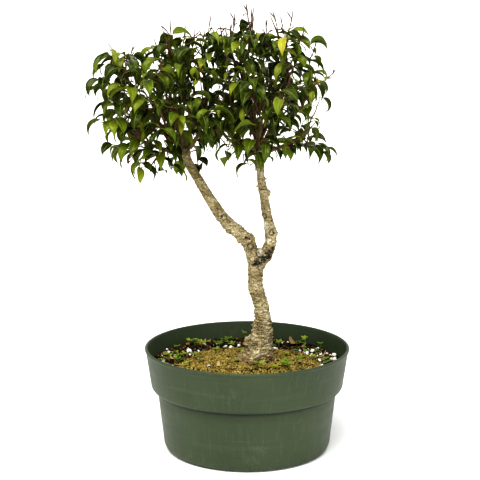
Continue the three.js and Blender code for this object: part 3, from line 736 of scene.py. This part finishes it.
# Spots on the trunk, in millimetres: [x, y, z, radius].
DARK_SCARS = [(8, -17, 235, 4.5), (13, -17, 237, 6.5), (19, -16, 240, 8.5), (24, -15, 243, 8),
              (28, -12, 247, 7), (31, -9, 252, 4.5), (13, -15, 230, 3.5), (-1, -17, 267, 3),
              (3, -17, 266.5, 2.6), (6, -17, 263, 2.4), (-31, -18, 294, 1.8), (-25, -17, 291, 1.6),
              (-36, -19, 304, 2), (-21, -13, 274, 3.2), (33, -8, 272, 2.6), (28, -11, 273, 2),
              (31, -5, 287, 2.2), (18, -4, 302, 1.8), (22, -3, 290, 1.6), (17, -6, 212, 1.6),
              (8, -13, 229, 2), (20, -12, 226, 1.8), (14, -13, 221, 1.6), (5, -14, 225, 2.2),
              (11, -14, 217, 1.8), (21, -10, 219, 1.8), (4, -13, 214, 1.5), (18, -11, 208, 1.4),
              (9, -12, 206, 1.3)]
PALE_SCARS = [(16, -18, 249, 5), (4, -18, 257, 1.6), (-28, -18, 293, 1.4), (26, -8, 262, 4), (22, -4, 281, 5)]
# The rings of bark round healed knots, as spots.
RINGS = [(4, -18, 257, 3), (-28, -18, 293, 2.8), (30, -10, 272.5, 3.2), (16, -19, 249, 5), (21, -3, 292, 2.8)]
# Broken stubs and knobs: where each starts inside the wood, its way, how far it reaches and its thickness.
STUBS = [((20, 1, 306), (-1, -0.3, 0.35), 11, 0.8), ((18, 4, 336), (1, -0.5, 0.3), 8.5, 1.6),
         ((20.5, 3, 316), (1, -0.4, 0.1), 8.5, 1.8), ((24, 1, 292), (-1, -0.5, 0.2), 8, 2.2),
         ((29, -2, 271), (1, -0.5, 0.1), 9.5, 2.6), ((-8, -10, 270), (-0.4, -0.6, -0.9), 11, 2.4),
         ((-20, -11, 284), (-0.5, -0.4, -0.8), 12, 2.4), ((-36, -12, 300), (-0.8, -0.6, 0.2), 8, 2),
         ((0, -9, 264), (-0.8, -0.5, -0.3), 14, 0.9), ((15, -8, 190), (-1, -0.4, 0.3), 10.5, 1.6),
         ((16, -8, 186), (1, -0.4, 0), 10, 1.6), ((-62, -12, 344), (-0.9, -0.3, 0.4), 8.5, 1.4),
         ((10, -9, 222), (-1, -0.3, -0.1), 10.5, 1.8), ((16, -10, 248), (0, -1, 0.15), 9.5, 4.2),
         ((18, 3, 326), (-1, -0.3, 0.3), 8.5, 0.8), ((26, -3, 282), (1, -0.2, 0.3), 8.5, 1.2),
         ((15, -10, 158), (-1, -0.4, 0), 11.5, 1.4),
         ((16, -10, 205), (-1, -0.2, 0.2), 10.5, 1), ((14, -14, 128), (-0.35, -0.9, -0.38), 34, 7),
         ((10, -10, 126), (-0.95, -0.35, -0.4), 22, 5.5), ((18, -14, 126), (0.9, -0.5, -0.4), 16, 5)]
TRUNK_VOXEL, QUICK_VOXEL = 0.0009, 0.0014
# How the bark changes with height, in millimetres: where a kind of bark ends or starts, and over how far it
# fades. Old bark has deep folds, rough bark has cracks and beads, and stained bark is near the soil.
OLD_BARK, ROUGH_BARK, YOUNG_BARK, STAINED_BARK = (215, 90), (330, 60), (285, 50), (SOIL_TOP + 22, 12)
LEFT_LIMB = (-18, 20)  # where the left limb starts along X, the same way


def near(points, spots):
    """How close each point is to the nearest of the spots: 1 at its middle, 0 at its radius and beyond."""
    found = np.zeros(len(points))
    for x, y, z, radius in spots:
        away = np.linalg.norm(points - (x, y, z), axis=1)
        found = np.maximum(found, np.clip(1 - away / radius, 0, 1))
    return found


def field(points, scale, shift=0.0):
    """Smooth noise, about -1 to 1, at points stretched by scale."""
    return np.array([noise.noise(Vector(p)) for p in points * scale + shift])


def bell(value, width):
    """1 where value is 0, and less the further it is from that, for its width."""
    return np.exp(-((value / width) ** 2))


def make_trunk():
    """The trunk's wood, finely remeshed, with its skin pushed in and out. Lengths here are in millimetres."""
    heap = Heap()
    heap.add(*merged("trunk"))
    for start, way, reach, thick in STUBS:
        a = np.array(start, float) * MM
        b = a + unit(np.array(way, float)) * reach * MM
        heap.add(*sweep(np.array([a, 0.5 * (a + b), b]), np.array([1.5, 1.2, 0.7]) * thick * MM, 8))
    voxel = TRUNK_VOXEL
    points, faces = modified(heap.points(), heap.faces, ("REMESH", {"mode": "VOXEL", "voxel_size": voxel}),
                             ("SMOOTH", {"factor": 0.6, "iterations": 12}))
    mm = points / MM
    x, z = mm[:, 0], mm[:, 2]
    low = np.clip((OLD_BARK[0] - z) / OLD_BARK[1], 0, 1)
    middle = np.clip((ROUGH_BARK[0] - z) / ROUGH_BARK[1], 0.35, 1)
    wide = field(mm, (0.07, 0.07, 0.05), 5)
    folds = field(mm, (0.055, 0.055, 0.34))
    lines = field(mm, (0.13, 0.13, 0.72), 9)
    beads = field(mm, (0.5, 0.5, 0.62), 3)
    grain = field(mm, (0.9, 0.9, 1.1), 7)
    # The crack mask pushes the skin in, and the bark paints shade into the same cracks.
    crack = bell(folds, 0.04) * np.clip(0.25 + low, 0, 1) + 0.8 * bell(lines, 0.07) * middle
    push = 1.2 * wide + (0.2 + 1.0 * low) * np.abs(folds) * 2.6 - crack * (0.4 + 0.9 * low)
    push += middle * (2.8 * np.clip(beads - 0.15, 0, 1) + 1.0 * grain) - 0.6 * low - 0.1
    torn = 0.7 + 1.1 * field(mm, 0.45, 2)
    scar = np.clip(near(mm, DARK_SCARS) * 3.3 * torn - 0.1, 0, 1)
    pale = np.clip(near(mm, PALE_SCARS) * 2.2 * torn, 0, 1)
    for *spot, radius in RINGS:
        away = np.linalg.norm(mm - spot, axis=1)
        push += 0.9 * bell(away - radius, 1.0) - 0.8 * bell(away, 0.6 * radius)
        scar = np.maximum(scar, 0.9 * bell(away - 1.2 * radius, 0.8))
    push -= 0.5 * scar
    young = np.clip((z - YOUNG_BARK[0]) / YOUNG_BARK[1], 0, 1)
    young = young * np.clip((LEFT_LIMB[0] - x) / LEFT_LIMB[1], 0, 1)
    dirt = np.clip((STAINED_BARK[0] - z + 6 * wide) / STAINED_BARK[1], 0, 1)
    pushed = points + normals_of(points, faces) * push[:, None] * MM
    piece("trunk_wood", pushed, faces, looks["bark"], "trunk_bark", ["trunk"],
          young=young, dirt=dirt, scar=scar, pale=pale, crack=np.clip(crack, 0, 1))


def make_branch(node):
    points, faces = merged(node)
    points, faces = modified(points, faces, subdivided(3))
    push = 0.9 * field(points / MM, 0.16) + 0.45 * field(points / MM, 0.5, 4) - 0.6
    pushed = points + normals_of(points, faces) * push[:, None] * MM
    piece(node + "_wood", pushed, faces, looks["branch"], "branch_bark", [node])


# ---- leaves

STATIONS = np.array([0, 0.16, 0.5, 1.0])  # a leaf's foot, the end of its stalk, its middle and its tip
# How wide a leaf is along its blade, as a share of its width.
OUTLINE_AT = np.array([0, 0.05, 0.12, 0.22, 0.34, 0.45, 0.57, 0.68, 0.77, 0.85, 0.91, 0.96, 1.0])
OUTLINE = np.array([0.05, 0.32, 0.62, 0.87, 0.99, 1.0, 0.88, 0.66, 0.43, 0.23, 0.12, 0.06, 0.02])
# Lengths in millimetres. A new leaf rises from its twig, curls down and rolls by angles in degrees.
LEAF = {"length": 35, "width": 14.5, "shortest": 8, "rise": (5, 50), "curl": (90, 165), "roll": (-40, 40)}
UP = np.array([0, 0, 1.0])

# The colours of leaves: old to young, fresh, and turned yellow.
GREENS = [linear(25, 37, 0), linear(38, 52, 2), linear(53, 67, 8), linear(72, 86, 14), linear(93, 104, 24)]
FRESH = [linear(88, 101, 24), linear(109, 118, 34)]
YELLOW = linear(138, 136, 46)
# Where leaves have turned yellow, in millimetres: [x, y, z, radius].
YELLOWED = [(44, -50, 494, 17), (24, -60, 478, 14), (-116, -40, 487, 15), (-48, -60, 452, 10),
            (-40, -30, 368, 13), (84, 0, 458, 10), (-186, -8, 462, 12)]


def parse_leaves(points, faces):
    """The leaves of a leafy twig's CAD mesh, each a dict, and the indices of the points they take."""
    near_points = [set() for _ in points]
    for f in faces:
        for a, b in zip(f, f[1:] + f[:1]):
            near_points[a].add(b)
            near_points[b].add(a)
    leaves, taken = [], set()
    for tip, ring in enumerate(near_points):
        if len(ring) != 3 or not all(b in near_points[a] for a in ring for b in ring if a != b):
            continue
        if min(np.linalg.norm(points[a] - points[tip]) for a in ring) < LEAF["shortest"] * MM:
            continue
        stalk = set().union(*[near_points[a] for a in ring]) - {tip} - ring
        pairs = [(a, b) for a in sorted(ring) for b in sorted(ring) if a < b]
        edge = max(pairs, key=lambda pair: np.linalg.norm(points[pair[0]] - points[pair[1]]))
        keel = points[(ring - set(edge)).pop()]
        left, right = points[edge[0]], points[edge[1]]
        stalk_end = points[sorted(stalk)].mean(axis=0)
        foot = stalk_end
        if len(stalk) == 3:
            foot = points[sorted(set().union(*[near_points[a] for a in stalk]) - ring - stalk)].mean(axis=0)
            taken |= stalk
        else:
            stalk_end = stalk_end + 0.25 * (keel - stalk_end)
        taken |= ring | {tip}
        leaves.append({"line": [foot, stalk_end, 0.35 * (left + right) / 2 + 0.65 * keel, points[tip]],
                       "normal": unit((left + right) / 2 - keel), "width": np.linalg.norm(left - right)})
    return leaves, taken


def new_leaf(base, heading, random, size):
    """A leaf that leaves base along the level heading, rises, and arcs over until its tip hangs."""
    rise, curl, roll = (math.radians(random.uniform(*LEAF[angle])) for angle in ("rise", "curl", "roll"))
    length = LEAF["length"] * size * MM
    side = np.cross(UP, heading)
    line = []
    for s in STATIONS:
        tilt = rise - curl * s
        line.append(base + heading * length * (math.sin(rise) - math.sin(tilt)) / curl
                    + UP * length * (math.cos(tilt) - math.cos(rise)) / curl)
    tilt = rise - 0.5 * curl
    top = UP * math.cos(tilt) - heading * math.sin(tilt)
    return {"line": line, "normal": top * math.cos(roll) - side * math.sin(roll),
            "width": LEAF["width"] * size * MM}


def through(knots, t):
    """The cubic through four points at STATIONS, at each t."""
    t = np.asarray(t)[:, None]
    total = np.zeros((len(t), 3))
    for i in range(4):
        share = np.ones_like(t)
        for j in range(4):
            if j != i:
                share = share * (t - STATIONS[j]) / (STATIONS[i] - STATIONS[j])
        total += share * knots[i]
    return total


def leaf_mesh(leaf, random):
    """Points, faces and leaf_at of one fine leaf: a blade with a top and an underside, and a stalk."""
    rows, cols, half_thickness = 15, 7, 0.15
    knots = leaf["line"]
    share = np.linspace(0, 1, rows) ** 0.92
    line = through(knots, 0.15 + 0.85 * share)
    ahead = unit(through(knots, 0.16 + 0.85 * share) - through(knots, 0.14 + 0.85 * share))
    half = np.interp(share, OUTLINE_AT, OUTLINE) * leaf["width"] / 2 * random.uniform(0.7, 0.96)
    twist = random.uniform(-0.9, 0.9)
    ripple, phase = random.uniform(0.2, 0.8) * MM, random.uniform(0, 6)
    fold = random.uniform(0.15, 0.6)
    bend = random.uniform(-0.5, 0.5)
    first_across = np.cross(knots[2] - knots[1], leaf["normal"])
    u = np.linspace(-1, 1, cols)
    top, bottom = [], []
    for i in range(rows):
        across = unit(first_across - ahead[i] * (first_across @ ahead[i]))
        lift = np.cross(across, ahead[i])
        a = twist * (share[i] - 0.35)
        across, lift = math.cos(a) * across + math.sin(a) * lift, math.cos(a) * lift - math.sin(a) * across
        middle = line[i] + across * bend * (share[i] - share[i] ** 2) * 0.006
        height = fold * half[i] * np.abs(u) ** 1.2 + ripple * math.sin(9 * share[i] + phase) * u * np.abs(u)
        row = middle + np.outer(u * half[i], across) + np.outer(height, lift)
        thick = np.outer(half_thickness * (1 - 0.7 * u * u), lift) * MM
        top.append(row + thick)
        bottom.append(row - thick)
    heap = Heap()
    heap.add(np.concatenate([*top, *bottom]), sheet(rows, cols, flip=True))
    stalk_radii = np.array([0.6, 0.5, 0.45, 0.42, 0.3]) * MM
    stalk, faces = sweep(through(knots, np.linspace(0, 0.2, 5)), stalk_radii, 6)
    heap.add(stalk, faces)
    at = np.stack([np.tile(u, rows), np.repeat(share, cols), np.zeros(rows * cols)], 1)
    return heap.points(), heap.faces, np.concatenate([at, at + (0, 0, 1), np.zeros_like(stalk)])


def level(way):
    """A way with its rise taken out."""
    return unit(np.array([way[0], way[1], 0.0]) + (1e-9, 0, 0))


def read_spray(node):
    """A leafy twig of the CAD: its points and faces, its leaves, its bare wood, and tubes to add to it."""
    points, faces = merged(node)
    leaves, taken = parse_leaves(points, faces)
    wood = [i for i in range(len(points)) if i not in taken]
    return {"node": node, "points": points, "faces": faces, "leaves": leaves, "taken": taken,
            "wood": points[wood], "tubes": []}


# Leaves between these two places along X, in metres, count for neither crown's middle.
LEFT_CROWN_END, RIGHT_CROWN_START = -0.045, -0.02
# How fill_crowns works, in metres: how far apart are the two leaves that a sprig grows between, how much room
# the sprig needs, how far from the wood it may be, how often it has a leaf, and how much room a leaf needs.
FILL = {"tries": 9000, "pair_from": 0.015, "pair_to": 0.05, "sprig_gap": 0.0135, "reach": 0.04,
        "leaf_every": 0.008, "leaf_gap": 0.0085, "turns_tried": 5, "turn": 2.4}


def leaf_middles(sprays):
    return np.array([leaf["line"][2] for spray in sprays for leaf in spray["leaves"]])


def crown_middles(sprays):
    """The middles of the left and the right crown."""
    centres = leaf_middles(sprays)
    x = centres[:, 0]
    return centres[x < LEFT_CROWN_END].mean(axis=0), centres[x > RIGHT_CROWN_START].mean(axis=0)


def wood_of(sprays):
    """All the sprays' wood points, and the number of the spray that owns each."""
    wood = np.concatenate([spray["wood"] for spray in sprays])
    return wood, np.concatenate([np.full(len(spray["wood"]), i) for i, spray in enumerate(sprays)])


def nearest(points, place):
    return int(np.linalg.norm(points - place, axis=1).argmin())


def gap_to(points, place):
    return np.linalg.norm(points - place, axis=1).min()


def fill_crowns(sprays, wanted, middles):
    """Adds leafy sprigs between the leaves of the CAD's twigs until wanted leaves are added."""
    random = np.random.default_rng(77)
    centres = leaf_middles(sprays)
    wood, owner = wood_of(sprays)
    added = 0
    for _ in range(FILL["tries"]):
        if added >= wanted:
            break
        a = centres[random.integers(len(centres))]
        away = np.linalg.norm(centres - a, axis=1)
        others = np.nonzero((away > FILL["pair_from"]) & (away < FILL["pair_to"]))[0]
        if not len(others):
            continue
        target = (a + centres[random.choice(others)]) / 2 + random.normal(size=3) * 0.004
        if gap_to(centres, target) < FILL["sprig_gap"]:
            continue
        k = nearest(wood, target)
        if np.linalg.norm(wood[k] - target) > FILL["reach"]:
            continue
        spray, root = sprays[owner[k]], wood[k]
        end = root + (target - root) * 0.8 + (0, 0, 0.004)
        span = np.linalg.norm(end - root)
        bend = (root + end) / 2 + random.normal(size=3) * 0.0012 + (0, 0, 0.05 * span)
        middle = min(middles, key=lambda m: np.linalg.norm(m - target))
        count = max(1, int(round(span / FILL["leaf_every"])))
        turn = random.uniform(0, 6)
        grown = 0
        for t in ((j + 1) / count for j in range(count)):
            base = root * (1 - t) ** 2 + 2 * bend * t * (1 - t) + end * t * t
            for _ in range(FILL["turns_tried"]):
                turn += FILL["turn"]
                radial = np.array([math.cos(turn), math.sin(turn), 0])
                heading = level(1.0 * radial + 0.6 * level(base - middle))
                leaf = new_leaf(base, heading, random, random.uniform(0.68, 1.08))
                if gap_to(centres, leaf["line"][2]) > FILL["leaf_gap"]:
                    spray["leaves"].append(leaf)
                    centres = np.vstack([centres, leaf["line"][2]])
                    grown += 1
                    break
        if grown:
            curve = through([root, 0.7 * root + 0.3 * bend, bend, end], np.linspace(0, 1, 6))
            spray["tubes"].append((curve, np.linspace(0.9, 0.5, 6) * MM))
            wood = np.vstack([wood, curve[2:5]])
            owner = np.append(owner, [owner[k]] * 3)
            added += grown


# The tips of bare young shoots over the crowns, in millimetres: [x, y, z].
SHOOTS = [(-2, -8, 549), (4, -2, 543), (-16, 6, 536), (29, -12, 539), (22, 8, 528), (54, 2, 540),
          (66, -8, 524), (-91, -10, 529), (-74, 4, 525), (-62, -14, 519), (-43, -6, 535), (-32, 8, 524),
          (-112, 10, 508), (-135, -6, 500), (40, 22, 530), (-20, -22, 524), (84, 10, 508), (-100, 24, 515),
          (-150, 12, 488), (-52, 26, 520), (8, 34, 528), (-172, -4, 462), (106, 0, 470)]
# Long bare twigs near the front of the crowns, in millimetres: where each starts, bends and ends.
TWIGS = [((10, -10, 375), (2, -50, 420), (-6, -54, 470)), ((24, -10, 371), (58, -46, 382), (80, -44, 411)),
         ((50, -14, 389), (78, -42, 405), (84, -38, 438)),
         ((66, -16, 432), (78, -40, 444), (82, -38, 460)),
         ((-74, -14, 378), (-86, -48, 405), (-97, -56, 446)),
         ((-6, -20, 400), (-22, -52, 440), (-24, -54, 488)),
         ((34, -10, 385), (40, -54, 425), (52, -58, 476)),
         ((-104, -14, 380), (-124, -46, 402), (-146, -48, 440)),
         ((-60, -10, 385), (-48, -52, 425), (-56, -54, 474)),
         ((30, 30, 385), (62, 50, 420), (80, 56, 462)),
         ((-104, 30, 385), (-128, 52, 415), (-140, 50, 458))]
# Where leafy sprigs end, in millimetres: long ones that hang below the crowns, and short ones on top.
HANGING = [(-128, -26, 353), (-108, -20, 346), (-92, -24, 353), (-4, -22, 360), (50, -14, 376),
           (-60, 10, 350), (-76, 30, 352), (20, 34, 362), (-150, 10, 372), (88, -10, 372), (-24, -30, 366),
           (34, 44, 374)]
TOPS = [(-92, -12, 508), (-100, 16, 500), (-76, -20, 504), (-62, -4, 506), (-48, -22, 508), (-36, 6, 506),
        (-24, -16, 503), (-12, 12, 502), (8, -18, 504), (24, -4, 508), (42, -16, 511), (58, 0, 506),
        (-118, -8, 492), (72, -16, 496), (-136, 8, 480), (-50, 24, 500), (30, 28, 502), (-4, -34, 498)]


def rising(root, end, sway):
    """Four points at STATIONS of a line that leaves root nearly level and turns up or down to end."""
    return [root + (end - root) * (math.sin(math.pi / 2 * t), math.sin(math.pi / 2 * t), t**1.5)
            + sway * math.sin(math.pi * t) for t in STATIONS]


def add_shoots(sprays):
    """Adds bare young shoots with side shoots and pointed buds on top of the crowns, with some leaves."""
    random = np.random.default_rng(91)
    wood, owner = wood_of(sprays)
    shoot_radii = np.array([0.95, 0.78, 0.7, 0.65, 0.6, 0.56, 0.82, 0.6, 0.12]) * MM
    side_radii = np.array([0.6, 0.5, 0.74, 0.58, 0.12]) * MM
    for tip in np.array(SHOOTS) * MM:
        length = random.uniform(0.026, 0.038)
        k = nearest(wood, tip - UP * length)
        tubes, leaves = sprays[owner[k]]["tubes"], sprays[owner[k]]["leaves"]
        curve = through(rising(wood[k], tip, random.normal(size=3) * 0.0022), np.linspace(0, 1, 9))
        tubes.append((curve, shoot_radii * random.uniform(0.9, 1.15)))
        for at in (4, 6):
            if random.random() < 0.65:
                way = unit(unit(curve[at + 1] - curve[at]) + 0.7 * unit(random.normal(size=3)))
                side = curve[at] + np.outer(np.linspace(0, random.uniform(0.008, 0.015), 5), way)
                tubes.append((side, side_radii))
        for at, low, high, chance in ((1, 0.7, 1.0, 0.8), (3, 0.6, 0.95, 0.3), (5, 0.2, 0.45, 0.5)):
            if random.random() < chance:
                leaf = new_leaf(curve[at], level(random.normal(size=3)), random, random.uniform(low, high))
                leaves.append({**leaf, "fresh": True} if at == 5 else leaf)


def add_twigs(sprays):
    """Adds the long bare twigs, each with three small leaves along its last part."""
    random = np.random.default_rng(151)
    wood, owner = wood_of(sprays)
    steps = 14
    t = np.linspace(0, 1, steps)[:, None]
    for start, bend, end in np.array(TWIGS) * MM:
        k = nearest(wood, start)
        spray = sprays[owner[k]]
        curve = wood[k] * (1 - t) ** 2 + 2 * bend * t * (1 - t) + end * t * t
        curve[1:-1] += random.normal(size=(steps - 2, 3)) * 0.0005
        spray["tubes"].append((curve, np.linspace(1.5, 0.5, steps) * MM))
        for at in (8, 11, 13):
            heading = level(random.normal(size=3))
            spray["leaves"].append(new_leaf(curve[at], heading, random, random.uniform(0.5, 0.9)))


def add_sprigs(sprays, ends, most, seed):
    """Adds a thin sprig to each end from the nearest wood, with 1 to most leaves along its last part."""
    random = np.random.default_rng(seed)
    wood, owner = wood_of(sprays)
    steps = 8
    for end in np.array(ends) * MM:
        k = nearest(wood, end + UP * 0.01)
        spray, root = sprays[owner[k]], wood[k]
        curve = through(rising(root, end, random.normal(size=3) * 0.0015), np.linspace(0, 1, steps))
        spray["tubes"].append((curve, np.linspace(0.85, 0.45, steps) * MM))
        for at in range(steps - 1, steps - 1 - random.integers(1, most + 1), -1):
            heading = level(level(end - root) + 0.9 * unit(random.normal(size=3)))
            spray["leaves"].append(new_leaf(curve[at], heading, random, random.uniform(0.7, 0.95)))


def painted_crown_shade(place, middles):
    """Painted shade and light by a leaf's place: leaves deep inside the crowns are darkened, and those on
    their outsides lightened.
    """
    away = min(np.linalg.norm(place - m) for m in middles)
    return float(np.interp(away / MM, [15, 50, 85], [0.45, 0.8, 1.12]))


def tint_of(leaf, random, middles):
    """The leaf's colour: mostly deep green, some fresh green, a few yellow, multiplied by painted crown
    shade.
    """
    middle = leaf["line"][2]
    tint = GREENS[int(random.random() * 4.999)] if random.random() < 0.93 else FRESH[random.integers(2)]
    if "fresh" in leaf:
        tint = (*FRESH, YELLOW)[random.integers(3)]
    if random.random() < 0.01 or any(math.dist(middle / MM, (x, y, z)) < r for x, y, z, r in YELLOWED):
        tint = YELLOW
    # The colour is multiplied by painted shade: darker inside the crowns, lighter on their outsides.
    return np.array([*(np.array(tint) * random.uniform(0.8, 1.2) * painted_crown_shade(middle, middles)), 1.0])


def build_spray(spray, random, middles):
    """The spray's leaves as one piece and its wood as another."""
    node, heap, at, tints = spray["node"], Heap(), [], []
    for leaf in spray["leaves"]:
        points, faces, leaf_at = leaf_mesh(leaf, random)
        heap.add(points, faces)
        at.append(leaf_at)
        tints.append(np.tile(tint_of(leaf, random, middles), (len(points), 1)))
    piece(node + "_leaves", heap.points(), heap.faces, looks["leaf"], "foliage", [node],
          leaf_at=np.concatenate(at), leaf_tint=np.concatenate(tints))

    # The CAD's wood without its leaves, closed where they were, and smoothed.
    wood = bmesh.new()
    verts = [wood.verts.new(p) for p in spray["points"]]
    for f in spray["faces"]:
        if not spray["taken"].intersection(f):
            wood.faces.new([verts[i] for i in f])
    bmesh.ops.delete(wood, geom=[v for v in wood.verts if not v.link_faces], context="VERTS")
    bmesh.ops.holes_fill(wood, edges=wood.edges, sides=0)
    bmesh.ops.triangulate(wood, faces=wood.faces)
    wood.verts.index_update()
    points, faces = [v.co.copy() for v in wood.verts], [[v.index for v in f.verts] for f in wood.faces]
    wood.free()
    heap = Heap()
    heap.add(*modified(points, faces, subdivided(2)))
    for line, radii in spray["tubes"]:
        heap.add(*sweep(line, radii, 7))
    piece(node + "_wood", heap.points(), heap.faces, looks["twig"], "branch_bark", [node])


# ---- build all of it

make_pot()
make_soil()
make_loose()
make_seedlings()
make_scraps()
make_trunk()
for name in nodes_named("branch"):
    make_branch(name)
sprays = [read_spray(name) for name in nodes_named("leafy")]
middles = crown_middles(sprays)
fill_crowns(sprays, len(leaf_middles(sprays)), middles)
add_twigs(sprays)
add_shoots(sprays)
add_sprigs(sprays, HANGING, 3, 131)
add_sprigs(sprays, TOPS, 4, 132)
for index, spray in enumerate(sprays):
    build_spray(spray, np.random.default_rng(500 + index), middles)

# ---- the stage

FLOOR_SIZE = 160
FLOOR_DROP = 0.0005  # how far the floor lies under the pot
# The camera's lens in millimetres, its place in metres and how far it looks down in radians.
LENS = 93.24
CAMERA_PLACE = (-0.0087, -1.5, 0.5345)
CAMERA_TILT = 0.18

floor_look = Look("floor", Roughness=0.9)
shades = floor_look.noise(floor_look.place(), 0.02, 3)
floor_look.colour(floor_look.ramp(shades, (0.3, (0.93, 0.93, 0.93)), (0.7, (0.95, 0.95, 0.95))))
bpy.ops.mesh.primitive_plane_add(size=FLOOR_SIZE, location=(0, 0, -FLOOR_DROP))
floor = bpy.context.object
floor.name = "floor"
floor.data.materials.append(floor_look.material)


def sun(name, source, strength, angle, colour=(1, 1, 1)):
    """A soft light from far off. source is the way to it; angle is how wide it looks, in degrees."""
    data = bpy.data.lights.new(name, "SUN")
    data.energy, data.angle, data.color = strength, math.radians(angle), colour
    lamp = bpy.data.objects.new(name, data)
    lamp.rotation_euler = Vector(source).to_track_quat("Z", "Y").to_euler()
    bpy.context.scene.collection.objects.link(lamp)


sun("key", (-0.4, -0.75, 1.4), 3.1, 48, (1, 0.98, 0.92))
sun("fill", (0.55, -0.95, 0.6), 1.05, 70)
sun("back", (0.3, 0.9, 0.9), 0.5, 60)

# White from below and all round, and grey overhead.
world = bpy.data.worlds.new("studio")
world.use_nodes = True
sky = world.node_tree.nodes
links = world.node_tree.links
direction = sky.new("ShaderNodeTexCoord")
height = sky.new("ShaderNodeSeparateXYZ")
fade = sky.new("ShaderNodeValToRGB")
fade.color_ramp.interpolation = "EASE"
for stop, (position, grey) in zip(fade.color_ramp.elements, ((0.05, 1.0), (0.5, 0.3))):
    stop.position = position
    stop.color = (grey, grey, grey, 1)
links.new(direction.outputs["Generated"], height.inputs["Vector"])
links.new(height.outputs["Z"], fade.inputs["Fac"])
links.new(fade.outputs["Color"], sky["Background"].inputs["Color"])
bpy.context.scene.world = world
bpy.context.scene.view_settings.view_transform = "Standard"
bpy.context.scene.view_settings.look = "High Contrast"

camera_data = bpy.data.cameras.new("camera")
camera_data.sensor_width = 36
camera_data.lens = LENS
camera = bpy.data.objects.new("camera", camera_data)
camera.location = CAMERA_PLACE
camera.rotation_euler = (math.pi / 2 - CAMERA_TILT, 0, 0)
bpy.context.scene.collection.objects.link(camera)
bpy.context.scene.camera = camera
